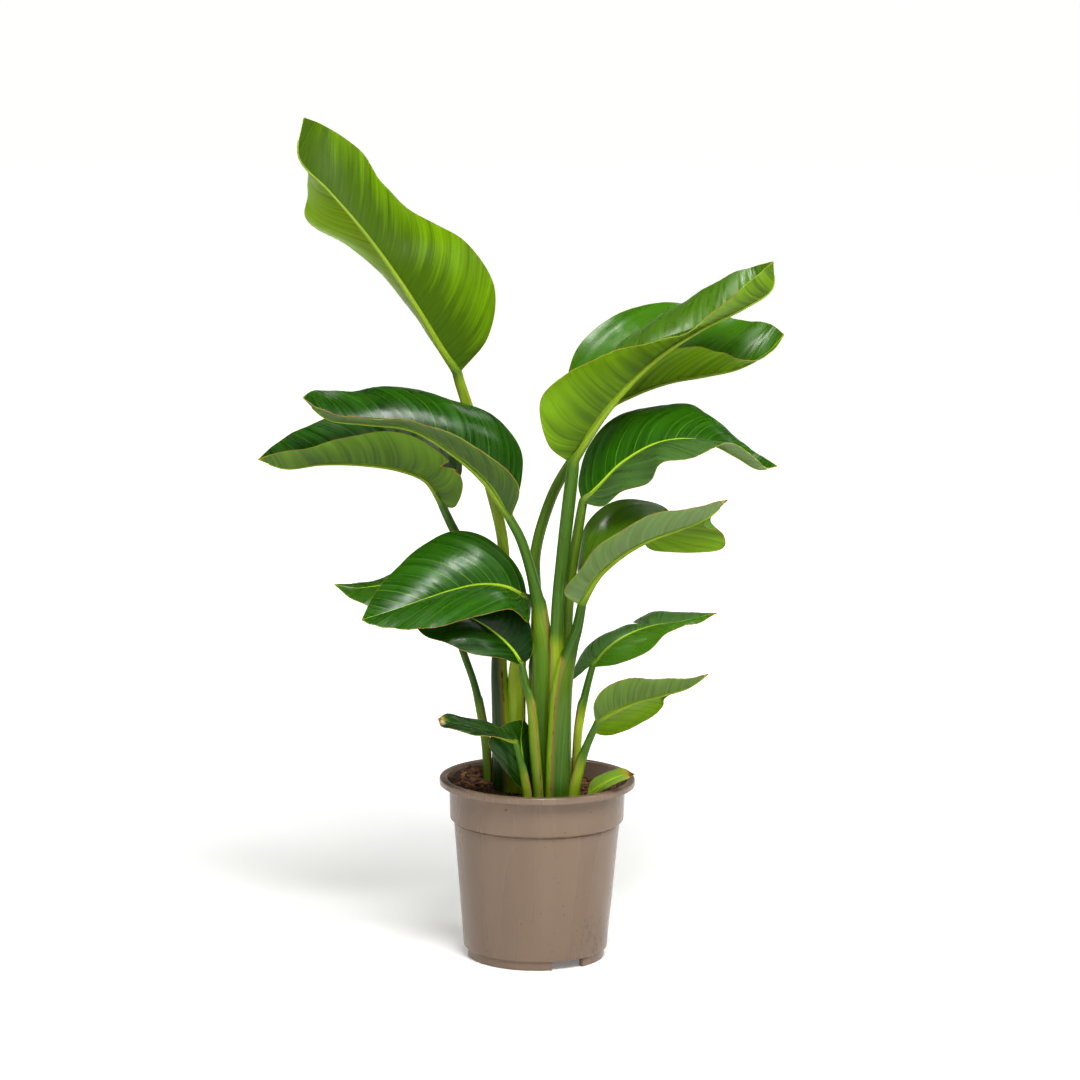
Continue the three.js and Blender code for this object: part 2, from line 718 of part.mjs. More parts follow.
// The bark fills the pot from its floor to the soil line, with a hole for each stalk.
function soilSolid(stalks) {
  const innerBottom = bodyBottomZ + floorThickness + fitGap;
  const topRadius = wallRadiusAt(soilTopZ) - fitGap;
  const positions = [0, 0, soilTopZ];
  for (let ring = 1; ring <= soilRings; ring++) {
    for (let k = 0; k < soilSegments; k++) {
      const turn = (2 * Math.PI * k) / soilSegments;
      const r = (topRadius * ring) / soilRings;
      const x = r * Math.cos(turn);
      const y = r * Math.sin(turn);
      positions.push(x, y, soilTopZ + (ring < soilRings ? soilBump(x, y) : 0));
    }
  }
  const index = [];
  for (let k = 0; k < soilSegments; k++) {
    const next = (k + 1) % soilSegments;
    index.push(0, 1 + k, 1 + next);
    for (let ring = 1; ring < soilRings; ring++) {
      const inner = 1 + (ring - 1) * soilSegments;
      const outer = inner + soilSegments;
      index.push(inner + k, outer + k, outer + next, inner + k, outer + next, inner + next);
    }
  }
  const levels = [
    [bandBottomRadius - wall - fitGap, innerBandBottomZ],
    [bodyTopRadius - wall - fitGap, bodyTopZ],
    [bodyBottomRadius - wall - fitGap, innerBottom],
  ];
  let above = 1 + (soilRings - 1) * soilSegments;
  for (const [r, z] of levels) {
    const below = positions.length / 3;
    for (let k = 0; k < soilSegments; k++) {
      const turn = (2 * Math.PI * k) / soilSegments;
      const next = (k + 1) % soilSegments;
      positions.push(r * Math.cos(turn), r * Math.sin(turn), z);
      index.push(above + k, below + k, below + next, above + k, below + next, above + next);
    }
    above = below;
  }
  const centre = positions.length / 3;
  positions.push(0, 0, innerBottom);
  for (let k = 0; k < soilSegments; k++) {
    index.push(centre, above + ((k + 1) % soilSegments), above + k);
  }
  let soil = solidOf(geometryOf(positions, index));
  for (const stalk of stalks) soil = soil.subtract(stalk);
  return soil;
}

// The inner radius of the pot's band at a height.
function wallRadiusAt(z) {
  const share = (z - innerBandBottomZ) / (innerBandTopZ - innerBandBottomZ);
  return THREE.MathUtils.lerp(bandBottomRadius, bandTopRadius, share) - wall;
}

function matt(colour, roughness) {
  return new THREE.MeshStandardMaterial({ color: colour, roughness, metalness: 0, side: THREE.DoubleSide });
}

const plant = new THREE.Group();
plant.name = "potted_bird_of_paradise";

const clearances = leaves.map((leaf) => stalkOf(leaf, leafSteps(leaf), fitGap));
leaves.forEach((leaf, i) => {
  let solid = leafSolid(leaf);
  for (const ahead of clearances.slice(0, i)) solid = solid.subtract(ahead);
  plant.add(meshOf(leaf.name, solid, matt(leaf.colour, 0.45)));
});
plant.add(meshOf("soil", soilSolid(clearances), matt(soilColour, 0.95)));
plant.add(meshOf("pot", potSolid(), matt(potColour, 0.5)));

export default plant;
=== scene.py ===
import math
import random
import bmesh
import bpy
from mathutils import Matrix, Vector, noise


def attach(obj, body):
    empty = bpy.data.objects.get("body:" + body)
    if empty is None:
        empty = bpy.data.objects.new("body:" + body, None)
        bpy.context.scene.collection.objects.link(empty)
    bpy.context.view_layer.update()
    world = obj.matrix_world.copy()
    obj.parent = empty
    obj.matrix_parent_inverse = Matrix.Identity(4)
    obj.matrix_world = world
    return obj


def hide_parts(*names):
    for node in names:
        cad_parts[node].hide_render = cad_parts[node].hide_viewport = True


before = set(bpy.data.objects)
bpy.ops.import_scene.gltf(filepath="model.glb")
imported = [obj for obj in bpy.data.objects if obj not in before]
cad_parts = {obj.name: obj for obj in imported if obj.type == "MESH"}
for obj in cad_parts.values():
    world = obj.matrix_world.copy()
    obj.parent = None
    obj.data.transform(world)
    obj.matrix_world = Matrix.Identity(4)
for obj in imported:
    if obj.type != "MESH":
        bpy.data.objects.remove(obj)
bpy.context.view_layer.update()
print("frame loaded:", len(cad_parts), "nodes")

mm = 0.001  # every size below is in millimetres unless its name says otherwise
studio = bpy.context.scene.collection


def linear(hexColour):
    # sRGB hex to the linear colour that a shader socket takes
    channels = [int(hexColour[i:i + 2], 16) / 255 for i in (1, 3, 5)]
    return [c / 12.92 if c <= 0.04045 else ((c + 0.055) / 1.055) ** 2.4 for c in channels] + [1.0]


def curveAt(points, t):
    # smooth curve through evenly spaced points, t from 0 at the first to 1 at the last
    last = len(points) - 1
    place = min(max(t, 0.0), 1.0) * last
    i = min(int(place), last - 1)
    u = place - i
    b, c = points[i], points[i + 1]
    a = points[i - 1] if i > 0 else 2 * b - c
    d = points[i + 2] if i + 2 <= last else 2 * c - b
    return (2 * b + (c - a) * u + (2 * a - 5 * b + 4 * c - d) * u ** 2 + (3 * b - a - 3 * c + d) * u ** 3) / 2


def directionAt(points, t):
    step = 0.001
    return (curveAt(points, t + step) - curveAt(points, t - step)).normalized()


def smoothStep(low, high, x):
    share = min(max((x - low) / (high - low), 0.0), 1.0)
    return share * share * (3 - 2 * share)


def newPiece(name, bm, materials, cadNode=None):
    # turns a bmesh in millimetres into a finished piece in metres, standing where it was made
    bmesh.ops.scale(bm, vec=(mm, mm, mm), verts=bm.verts)
    mesh = bpy.data.meshes.new(name)
    bm.to_mesh(mesh)
    bm.free()
    for material in materials:
        mesh.materials.append(material)
    piece = bpy.data.objects.new(name, mesh)
    studio.objects.link(piece)
    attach(piece, "root")
    if cadNode:
        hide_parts(cadNode)
    return piece


def addNode(tree, kind, inputs=None, out=0, **settings):
    # adds a shader node, sets it, feeds its inputs with values or sockets, and gives back one output
    made = tree.nodes.new("ShaderNode" + kind)
    for name, value in settings.items():
        setattr(made, name, value)
    for name, value in (inputs or {}).items():
        if isinstance(value, bpy.types.NodeSocket):
            tree.links.new(value, made.inputs[name])
        else:
            made.inputs[name].default_value = value
    return made.outputs[out]


def newMaterial(name, surfaceOf):
    material = bpy.data.materials.new(name)
    material.use_nodes = True
    tree = material.node_tree
    tree.nodes.clear()
    output = tree.nodes.new("ShaderNodeOutputMaterial")
    tree.links.new(surfaceOf(tree), output.inputs["Surface"])
    return material


# Living leaf of an evergreen: a waxy cuticle over green tissue. It makes the upper face dark and glossy, with
# a yellow-green midrib and fine pale ribs curving out to the margin. The lower face is paler and more matte,
# and light from behind shows its ribs as darker and lighter stripes.
leafUpper = {
    "name": "waxy leaf, upper face",
    "deep": "#0f3304",
    "fresh": "#33690a",
    "young": "#8aae10",
    "vein": "#7aa637",
    "veinShare": 0.4,
    "veinWidth": 0.05,
    "rib": "#a9c832",
    "ribRelief": 0.06,
    "roughness": 0.3,
    "gloss": 0.4,
    "stripes": 0.35,
    "outerLight": 0.15,
    "bloomAndSheenShare": 0.35,
}
leafLower = {
    "name": "waxy leaf, lower face",
    "deep": "#2e4a02",
    "fresh": "#688e02",
    "young": "#93b400",
    "vein": "#2f4c0a",
    "veinShare": 0.5,
    "veinWidth": 0.22,
    "rib": "#86a63c",
    "ribRelief": 0.15,
    "roughness": 0.4,
    "gloss": 0.1,
    "stripes": 0.6,
    "outerLight": 0.85,
    "bloomAndSheenShare": 1.0,
}
leafEdge = {
    "margin": "#8b9434",
    "marginDry": "#8c6c3c",
    "marginWidth": 0.55,
    "dying": "#6d4a22",
    "yellowing": "#a8963a",
    # whitish bloom, which also serves as painted sheen
    "bloom": "#82966a",
}


def leafFace(look):
    def surface(tree):
        place = addNode(tree, "Attribute", out="Vector", attribute_name="leafPlace")
        veins, across, edge = addNode(tree, "SeparateXYZ", {0: place}).node.outputs
        tone = addNode(tree, "Attribute", out="Vector", attribute_name="leafTone")
        young, dying, fromRib = addNode(tree, "SeparateXYZ", {0: tone}).node.outputs
        shade = addNode(tree, "Attribute", out="Vector", attribute_name="leafShade")
        lit, bloom, veinsShown = addNode(tree, "SeparateXYZ", {0: shade}).node.outputs
        where = addNode(tree, "TexCoord", out="Object")
        # fine streaks run along the veins, three to a vein and about 60 mm long; broad stripes are two or
        # three veins wide
        patterns = []
        for perVein, perMillimetre, layer in ((3.0, 0.016, 0.0), (0.6, 0.008, 4.0)):
            patternPlace = addNode(tree, "CombineXYZ", {
                0: addNode(tree, "Math", {0: veins, 1: perVein}, operation="MULTIPLY"),
                1: addNode(tree, "Math", {0: across, 1: perMillimetre}, operation="MULTIPLY"),
                2: layer,
            })
            patterns.append(addNode(tree, "TexNoise", {"Vector": patternPlace, "Scale": 1.0, "Detail": 1.0}))
        streaks, stripes = patterns
        stripes = addNode(tree, "MapRange", {"Value": stripes, "From Min": 0.3, "From Max": 0.7,
                                             "To Min": -look["stripes"] / 2, "To Max": look["stripes"] / 2})
        # painted light: the blade gets thinner towards its margin, and its colour is made lighter there for
        # the light that comes through
        away = addNode(tree, "Math", {0: across}, operation="ABSOLUTE")
        outer = addNode(tree, "MapRange", {
            "Value": away, "From Min": 10.0, "From Max": 60.0,
            "To Min": -look["outerLight"] / 2, "To Max": look["outerLight"] / 2,
        })
        # share of fresh green: the tissue's streaks and stripes, with the painted light and shade of lit and
        # the painted light through the thin margin
        greenAndPaintedLight = addNode(tree, "Math", {0: streaks, 1: lit}, operation="ADD")
        greenAndPaintedLight = addNode(tree, "Math", {0: greenAndPaintedLight, 1: outer}, operation="ADD")
        greenAndPaintedLight = addNode(tree, "Math", {0: greenAndPaintedLight, 1: stripes}, operation="ADD", use_clamp=True)
        # one thin line to each vein, fainter towards the margin
        toVein = addNode(tree, "Math", {0: veins, 1: 0.5}, operation="PINGPONG")
        line = addNode(tree, "MapRange", {"Value": toVein, "From Min": look["veinWidth"], "From Max": 0.0},
                       interpolation_type="SMOOTHSTEP")
        fade = addNode(tree, "MapRange", {"Value": away, "From Min": 75.0, "From Max": 8.0, "To Min": 0.15})
        for share in (fade, look["veinShare"], veinsShown):
            line = addNode(tree, "Math", {0: line, 1: share}, operation="MULTIPLY")
        # a whitish bloom greys the green, more in some streaks than in others; on some blades the same layer
        # is painted sheen, the silvery look of a blade seen at a glancing angle
        bloomAndPaintedSheen = addNode(tree, "Math", {0: streaks, 1: 0.5}, operation="ADD")
        bloomAndPaintedSheen = addNode(tree, "Math", {0: bloomAndPaintedSheen, 1: look["bloomAndSheenShare"]}, operation="MULTIPLY")
        bloomAndPaintedSheen = addNode(tree, "Math", {0: bloomAndPaintedSheen, 1: bloom}, operation="MULTIPLY", use_clamp=True)
        onRib = addNode(tree, "MapRange", {"Value": fromRib, "From Min": 1.15, "From Max": 0.75},
                        interpolation_type="SMOOTHSTEP")
        atEdge = addNode(tree, "MapRange", {
            "Value": edge, "From Min": leafEdge["marginWidth"], "From Max": 0.3,
        })
        edgePatch = addNode(tree, "TexNoise", {"Vector": where, "Scale": 25.0, "Detail": 2.0})
        isDry = addNode(tree, "MapRange", {"Value": edgePatch, "From Min": 0.4, "From Max": 0.55})
        margin = addNode(tree, "Mix", {
            0: isDry, 6: linear(leafEdge["margin"]), 7: linear(leafEdge["marginDry"]),
        }, out=2, data_type="RGBA")
        # dying tissue goes yellow first and then brown, in patches some millimetres wide
        patch = addNode(tree, "TexNoise", {"Vector": where, "Scale": 220.0, "Detail": 3.0})
        patch = addNode(tree, "Math", {0: patch, 1: 0.5}, operation="ADD")
        gone = addNode(tree, "Math", {0: dying, 1: patch}, operation="MULTIPLY")
        yellow = addNode(tree, "MapRange", {"Value": gone, "From Min": 0.2, "From Max": 0.45})
        brown = addNode(tree, "MapRange", {"Value": gone, "From Min": 0.45, "From Max": 0.6})
        # each colour lies over the ones before it
        colour = linear(look["deep"])
        for cover, over in (
            (greenAndPaintedLight, linear(look["fresh"])),
            # yellow green of young tissue, which on some blades also paints light shining through them
            (young, linear(look["young"])),
            (line, linear(look["vein"])),
            (bloomAndPaintedSheen, linear(leafEdge["bloom"])),
            (onRib, linear(look["rib"])),
            (atEdge, margin),
            (yellow, linear(leafEdge["yellowing"])),
            (brown, linear(leafEdge["dying"])),
        ):
            colour = addNode(tree, "Mix", {0: cover, 6: colour, 7: over}, out=2, data_type="RGBA")
        wax = addNode(tree, "TexNoise", {"Vector": where, "Scale": 60.0, "Detail": 3.0})
        wax = addNode(tree, "Math", {0: wax, 1: streaks}, operation="ADD")
        roughness = addNode(tree, "MapRange", {
            "Value": wax, "From Min": 0.7, "From Max": 1.3,
            "To Min": look["roughness"] - 0.08, "To Max": look["roughness"] + 0.12,
        })
        height = addNode(tree, "Math", {0: streaks, 1: line}, operation="ADD")
        bump = addNode(tree, "Bump", {"Height": height, "Strength": 0.35, "Distance": look["ribRelief"] * mm})
        return addNode(tree, "BsdfPrincipled", {
            "Base Color": colour,
            "Roughness": roughness,
            "IOR": 1.45,
            "Specular IOR Level": look["gloss"],
            "Normal": bump,
            "Subsurface Weight": 0.35,
            "Subsurface Radius": (0.6, 1.0, 0.15),
            "Subsurface Scale": 1.5 * mm,
        })
    return newMaterial(look["name"], surface)


# Stalks and sheaths are the same tissue without a blade: smooth, faintly ribbed lengthwise, with a whitish
# bloom. A sheath's margin is a thin dry skin, tan to brown.
stalkSkin = {
    "petiole": "#466a16",
    "sheath": "#4f7804",
    "young": "#a9ba1e",
    "inside": "#86a818",
    # dark green for the dark fibre streaks, and painted shade low on some stalks
    "shade": "#1c3a08",
    "flush": "#8c7f3e",
    "flushWidth": 6.0,
    "dry": "#96764a",
    "dryDark": "#5c3820",
    "bloom": "#9fb486",
    "dryWidth": 1.2,
}


def stalkFace(tree):
    look = stalkSkin
    place = addNode(tree, "Attribute", out="Vector", attribute_name="stalkPlace")
    along, around, sheath = addNode(tree, "SeparateXYZ", {0: place}).node.outputs
    tone = addNode(tree, "Attribute", out="Vector", attribute_name="stalkTone")
    young, shade, toMargin = addNode(tree, "SeparateXYZ", {0: tone}).node.outputs
    # fibres run lengthwise, two millimetres apart and 80 mm long
    fibrePlace = addNode(tree, "CombineXYZ", {
        0: addNode(tree, "Math", {0: around, 1: 0.5}, operation="MULTIPLY"),
        1: addNode(tree, "Math", {0: along, 1: 0.012}, operation="MULTIPLY"),
    })
    fibres = addNode(tree, "TexNoise", {"Vector": fibrePlace, "Scale": 1.0, "Detail": 3.0})
    dark = addNode(tree, "MapRange", {"Value": fibres, "From Min": 0.55, "From Max": 0.3, "To Max": 0.22})
    pale = addNode(tree, "MapRange", {"Value": fibres, "From Min": 0.5, "From Max": 0.75, "To Max": 0.12})
    flushed = addNode(tree, "MapRange", {
        "Value": toMargin, "From Min": look["flushWidth"], "From Max": 0.0, "To Max": 0.75,
    }, interpolation_type="SMOOTHSTEP")
    inner = addNode(tree, "MapRange", {"Value": toMargin, "From Min": 0.3, "From Max": -0.6})
    # the dry skin is a line on the margin, of uneven width
    where = addNode(tree, "TexCoord", out="Object")
    ragged = addNode(tree, "TexNoise", {"Vector": where, "Scale": 70.0, "Detail": 3.0})
    width = addNode(tree, "MapRange", {
        "Value": ragged, "From Min": 0.3, "From Max": 0.7, "To Min": 0.4, "To Max": look["dryWidth"],
    })
    offLine = addNode(tree, "Math", {0: toMargin}, operation="ABSOLUTE")
    offLine = addNode(tree, "Math", {0: offLine, 1: width}, operation="SUBTRACT")
    isDry = addNode(tree, "MapRange", {"Value": offLine, "From Min": 0.3, "From Max": -0.1})
    isDark = addNode(tree, "MapRange", {"Value": ragged, "From Min": 0.5, "From Max": 0.7})
    dry = addNode(tree, "Mix", {0: isDark, 6: linear(look["dry"]), 7: linear(look["dryDark"])}, out=2,
                  data_type="RGBA")
    # each colour lies over the ones before it
    colour = linear(look["petiole"])
    for cover, over in (
        (sheath, linear(look["sheath"])),
        (young, linear(look["young"])),
        # painted shade, partly the stalk's own darker green
        (shade, linear(look["shade"])),
        (dark, linear(look["shade"])),
        (pale, linear(look["bloom"])),
        (flushed, linear(look["flush"])),
        (inner, linear(look["inside"])),
        (isDry, dry),
    ):
        colour = addNode(tree, "Mix", {0: cover, 6: colour, 7: over}, out=2, data_type="RGBA")
    roughness = addNode(tree, "MapRange", {
        "Value": fibres, "From Min": 0.3, "From Max": 0.7, "To Min": 0.3, "To Max": 0.45,
    })
    bump = addNode(tree, "Bump", {"Height": fibres, "Strength": 0.3, "Distance": 0.2 * mm})
    return addNode(tree, "BsdfPrincipled", {
        "Base Color": colour,
        "Roughness": roughness,
        "IOR": 1.45,
        "Specular IOR Level": 0.3,
        "Normal": bump,
        "Subsurface Weight": 0.25,
        "Subsurface Radius": (0.6, 1.0, 0.15),
        "Subsurface Scale": 2.0 * mm,
    })


upperFace = leafFace(leafUpper)
lowerFace = leafFace(leafLower)
stalkFinish = newMaterial("waxy stalk and dry sheath margin", stalkFace)


# Each leaf is given by curves that run from the foot of its blade to its tip: the rib, and the margins of the
# half nearer the front and of the half farther from it. hand is -1 where the blade points to the left and 1
# where it points to the right. arch is how far the near and the far half bulge to the upper face, as a share
# of their width. The stalk's points run up from the bark, each with the stalk's radius as its fourth number,
# and shoulder is the height at which the sheath ends. lit is painted light and shade on the near and the far
# half: above nought it adds fresh green where the half is lit, below nought it takes fresh green away where
# the half lies in shade. young and bloom are shares of yellow green and whitish bloom on the near and the far
# half; on some blades young also paints light shining through the blade, and bloom a painted silvery sheen.
# shadeStalk is painted shade on the lower part of the stalk, partly the stalk's own darker green. opening is
# the half angle of the sheath's gap, and dyingLength is how far the brown reaches from the tip.

# First offset on the left, held low over the rim.
leafLowLeft = {
    "name": "leaf_low_left",
    "slot": "leaf_deep", "shoulder": 226, "lit": (-0.4, -0.25), "bloom": (0.15, 0.1), "veinsShown": 0.3,
    "ribWidth": 0.15, "wavy": 2.2, "dying": 0.9, "dyingLength": 8, "youngStalk": 0.3,
    "hand": -1,
    "arch": [0.1, 0.1],
    "rib": [
        [-23, -84, 252], [-34, -88, 257], [-53, -92, 264], [-73, -96, 271], [-90, -98, 275],
        [-105, -100, 279],
    ],
    "near": [
        [-23, -85, 251], [-33, -96, 256], [-51, -106, 263], [-71, -110, 266], [-90, -108, 269],
        [-101, -104, 272], [-105, -100, 279],
    ],
    "far": [
        [-23, -82, 252], [-24, -72, 257], [-40, -66, 262], [-60, -66, 270], [-80, -74, 277],
        [-97, -88, 281], [-105, -100, 279],
    ],
    "stalk": [[-10, -70, 186, 5], [-13, -73, 208, 4.4], [-17, -78, 227, 3.6], [-23, -84, 252, 3]],
}

# Shaded blade under the broad one.
leafDarkLeft = {
    "name": "leaf_dark_left",
    "slot": "leaf_deep", "shoulder": 300, "lit": (-0.2, -0.7), "veinsShown": 0.4, "youngStalk": 0.15,
    "opening": 0.9,
    "hand": -1,
    "arch": [0.12, 0.1],
    "rib": [
        [-18, -46, 328], [-28, -44, 343], [-45, -42, 359], [-69, -40, 374], [-100, -36, 383],
        [-135, -30, 386],
    ],
    "near": [
        [-19, -50, 327], [-41, -66, 338], [-70, -74, 344], [-96, -74, 355], [-117, -64, 359],
        [-132, -48, 370], [-135, -30, 386],
    ],
    "far": [
        [-17, -43, 327], [-8, -38, 336], [-7, -33, 356], [-17, -28, 382], [-47, -15, 393], [-90, -14, 393],
        [-135, -30, 386],
    ],
    "stalk": [
        [2, -60, 184, 5.8], [-3, -60, 240, 5.8], [-7, -57, 284, 4.8], [-13, -52, 307, 4],
        [-18, -46, 328, 3.4],
    ],
}

# Blade that folds up at its base and droops at its end.
leafFoldedRight = {
    "name": "leaf_folded_right",
    "slot": "leaf_lit", "shoulder": 345, "lit": (0.2, 0.1), "bloom": (0.6, 0.1), "young": (0.0, 0.25),
    "dying": 1.0, "dyingLength": 7, "shadeStalk": 0.5, "opening": 1.0,
    "hand": 1,
    "arch": [0.05, 0.14],
    "rib": [
        [45, -52, 395], [59, -58, 424], [85, -64, 449], [114, -70, 467], [146, -76, 480], [175, -80, 493],
        [196, -82, 513],
    ],
    "near": [
        [43, -54, 393], [26, -66, 410], [44, -82, 439], [61, -94, 464], [92, -102, 487], [125, -106, 503],
        [156, -102, 506], [179, -92, 511], [196, -82, 513],
    ],
    "far": [
        [47, -48, 394], [40, -23, 430], [50, -5, 474], [86, 2, 498], [136, -10, 488], [112, -29, 455],
        [150, -48, 450], [190, -62, 456], [192, -70, 474], [171, -78, 487], [196, -82, 513],
    ],
    "stalk": [
        [21, -62, 184, 13], [22, -62, 241, 12.8], [25, -62, 304, 11], [33, -58, 346, 7.5],
        [40, -55, 369, 5.6], [45, -52, 395, 4.6],
    ],
}

# Lowest full blade on the right, seen from below.
leafLowRight = {
    "name": "leaf_low_right",
    "slot": "leaf_lit", "shoulder": 235, "lit": (0.25, 0.5), "bloom": (0.3, 0.0), "young": (0.1, 0.15),
    "dying": 0.9, "youngStalk": 0.3,
    "hand": 1,
    "arch": [0.05, 0.1],
    "rib": [
        [63, -64, 271], [82, -70, 284], [107, -76, 296], [133, -82, 304], [158, -86, 313], [179, -88, 328],
    ],
    "near": [
        [61, -66, 269], [59, -80, 293], [71, -94, 314], [98, -102, 325], [127, -102, 325], [157, -96, 325],
        [179, -88, 328],
    ],
    "far": [
        [64, -60, 269], [60, -36, 254], [75, -21, 247], [105, -23, 257], [131, -47, 282], [133, -78, 299],
        [148, -84, 309], [166, -86, 317], [179, -88, 328],
    ],
    "stalk": [[37, -54, 183, 7], [44, -56, 217, 5.8], [51, -60, 241, 4.2], [63, -64, 270, 3.2]],
}

# Smallest blade, lying over the rim.
leafRimRight = {
    "name": "leaf_rim_right",
    "slot": "leaf_lit", "shoulder": 180, "young": (0.85, 0.9), "lit": (0.4, 0.5), "bloom": (1.0, 0.8),
    "dying": 1.0, "dyingLength": 11, "wavy": 1.6, "youngStalk": 0.6,
    "hand": 1,
    "arch": [0.1, 0.1],
    "rib": [[54, -54, 187], [67, -60, 200], [79, -68, 209], [92, -76, 216], [103, -82, 218]],
    "near": [[54, -55, 186], [67, -62, 194], [80, -72, 203], [94, -80, 212], [103, -82, 218]],
    "far": [[54, -52, 188], [58, -46, 201], [71, -50, 212], [89, -62, 219], [103, -82, 218]],
    "stalk": [[50, -46, 174, 3.4], [52, -49, 181, 3], [54, -54, 187, 2.6]],
}

# Young blade that still stands upright.
leafYoungUpright = {
    "name": "leaf_young_upright",
    "slot": "leaf_deep", "shoulder": 182, "lit": (-0.05, -0.05), "youngStalk": 0.4,
    "hand": -1,
    "arch": [0.12, 0.1],
    "rib": [[-12, -46, 189], [-14, -46, 208], [-16, -46, 227], [-18, -44, 247], [-16, -40, 267]],
    "near": [
        [-13, -48, 189], [-31, -58, 211], [-47, -62, 234], [-52, -62, 249], [-35, -54, 264],
        [-16, -40, 267],
    ],
    "far": [
        [-11, -44, 189], [-7, -34, 210], [-7, -30, 231], [-8, -30, 248], [-11, -34, 260], [-16, -40, 267],
    ],
    "stalk": [[-11, -44, 173, 4], [-12, -45, 181, 3.4], [-12, -46, 189, 2.8]],
}

# Highest blade on the right, folded up along its rib.
leafHighRight = {
    "name": "leaf_high_right",
    "slot": "leaf_lit", "shoulder": 362, "lit": (0.1, 0.15), "young": (0.15, 0.2), "bloom": (0.05, 0.05),
    "veinSpacing": 10, "slant": 0.35, "youngStalk": 0.5,
    "hand": 1,
    "arch": [0.04, 0.1],
    "rib": [
        [34, -48, 547], [54, -56, 584], [84, -62, 624], [121, -66, 661], [164, -66, 690], [210, -62, 713],
        [238, -58, 732], [240, -54, 761],
    ],
    "near": [
        [32, -50, 544], [7, -64, 567], [-1, -76, 615], [27, -88, 645], [72, -98, 669], [122, -104, 683],
        [149, -104, 691], [185, -96, 719], [221, -80, 748], [240, -54, 761],
    ],
    "far": [
        [36, -44, 547], [41, -14, 585], [51, 0, 626], [80, 6, 662], [116, 6, 689], [157, -2, 716],
        [196, -18, 742], [224, -36, 754], [240, -54, 761],
    ],
    "stalk": [
        [20, -40, 179, 9], [19, -40, 250, 9], [19, -41, 321, 8], [19, -42, 386, 6.8], [24, -43, 445, 6.8],
        [30, -45, 505, 6.7], [34, -48, 543, 6],
    ],
}

# Dark blade arching to the left.
leafArchingLeft = {
    "name": "leaf_arching_left",
    "slot": "leaf_deep", "shoulder": 395, "lit": (-0.1, -0.1), "bloom": (0.25, 0.0), "slant": 0.9,
    "opening": 0.8, "shoulderStep": 3.0,
    "hand": -1,
    "arch": [0.08, 0.2],
    "rib": [
        [-33, -45, 486], [-57, -52, 524], [-93, -58, 556], [-136, -64, 581], [-183, -70, 587],
        [-223, -78, 593], [-249, -90, 617],
    ],
    "near": [
        [-31, -48, 484], [-23, -72, 523], [-56, -84, 558], [-97, -92, 582], [-139, -96, 595],
        [-180, -98, 597], [-211, -98, 600], [-234, -96, 608], [-249, -90, 617],
    ],
    "far": [
        [-30, -42, 485], [-20, -30, 525], [-23, -18, 557], [-52, -12, 589], [-106, -12, 608],
        [-155, -14, 619], [-202, -28, 615], [-237, -60, 620], [-249, -90, 617],
    ],
    "stalk": [
        [6, -30, 177, 10], [6, -30, 253, 10.5], [5, -31, 330, 11.5], [1, -34, 379, 8.5],
        [-7, -38, 419, 5.8], [-19, -42, 459, 5.2], [-33, -45, 486, 4.6],
    ],
}

# Open blade with a twisted end.
leafMiddleRight = {
    "name": "leaf_middle_right",
    "slot": "leaf_lit", "shoulder": 345, "lit": (0.2, 0.2), "bloom": (0.7, 0.0), "veinsShown": 1.5,
    "slant": 0.9, "youngStalk": 0.4, "palePetiole": 0.15,
    "hand": 1,
    "arch": [0.12, 0.12],
    "rib": [
        [45, -34, 502], [63, -40, 521], [87, -46, 546], [119, -52, 566], [151, -58, 573], [180, -64, 569],
        [205, -70, 557], [227, -74, 545], [248, -76, 548],
    ],
    "near": [
        [46, -38, 500], [66, -60, 501], [85, -78, 519], [112, -92, 531], [124, -102, 553], [150, -108, 559],
        [178, -106, 570], [193, -100, 576], [215, -94, 566], [233, -86, 549], [248, -76, 548],
    ],
    "far": [
        [43, -30, 502], [40, -16, 521], [50, 0, 555], [76, 10, 584], [113, 12, 595], [153, 6, 601],
        [185, -8, 585], [218, -38, 562], [248, -76, 548],
    ],
    "stalk": [
        [28, -14, 173, 9], [27, -14, 245, 9], [28, -18, 316, 7], [30, -24, 372, 5.4], [34, -30, 427, 5.2],
        [41, -33, 476, 5], [45, -34, 502, 4.4],
    ],
}

# Narrow blade torn through its far half.
leafTornRight = {
    "name": "leaf_torn_right",
    "slot": "leaf_lit", "shoulder": 285, "lit": (0.7, 0.4), "young": (0.12, 0.0), "bloom": (0.1, 0.7),
    "dying": 0.7, "youngStalk": 0.5, "shoulderStep": 3.5,
    "hand": 1,
    "arch": [0.1, 0.1],
    "tears": [{"side": -1, "at": 0.5, "half": 0.05, "depth": 0.85}],
    "rib": [
        [58, -20, 323], [74, -20, 342], [97, -20, 357], [122, -20, 366], [146, -22, 370], [169, -24, 376],
        [189, -28, 382],
    ],
    "near": [
        [59, -24, 321], [82, -44, 328], [105, -54, 339], [122, -56, 351], [137, -50, 365], [154, -42, 370],
        [171, -34, 373], [189, -28, 382],
    ],
    "far": [
        [57, -16, 324], [35, 0, 302], [50, 16, 334], [78, 24, 349], [104, 28, 363], [125, 26, 372],
        [159, 8, 375], [189, -28, 382],
    ],
    "stalk": [
        [41, -34, 178, 5], [42, -34, 238, 4.6], [45, -32, 268, 4.6], [51, -26, 297, 3.8],
        [58, -20, 323, 3.2],
    ],
}

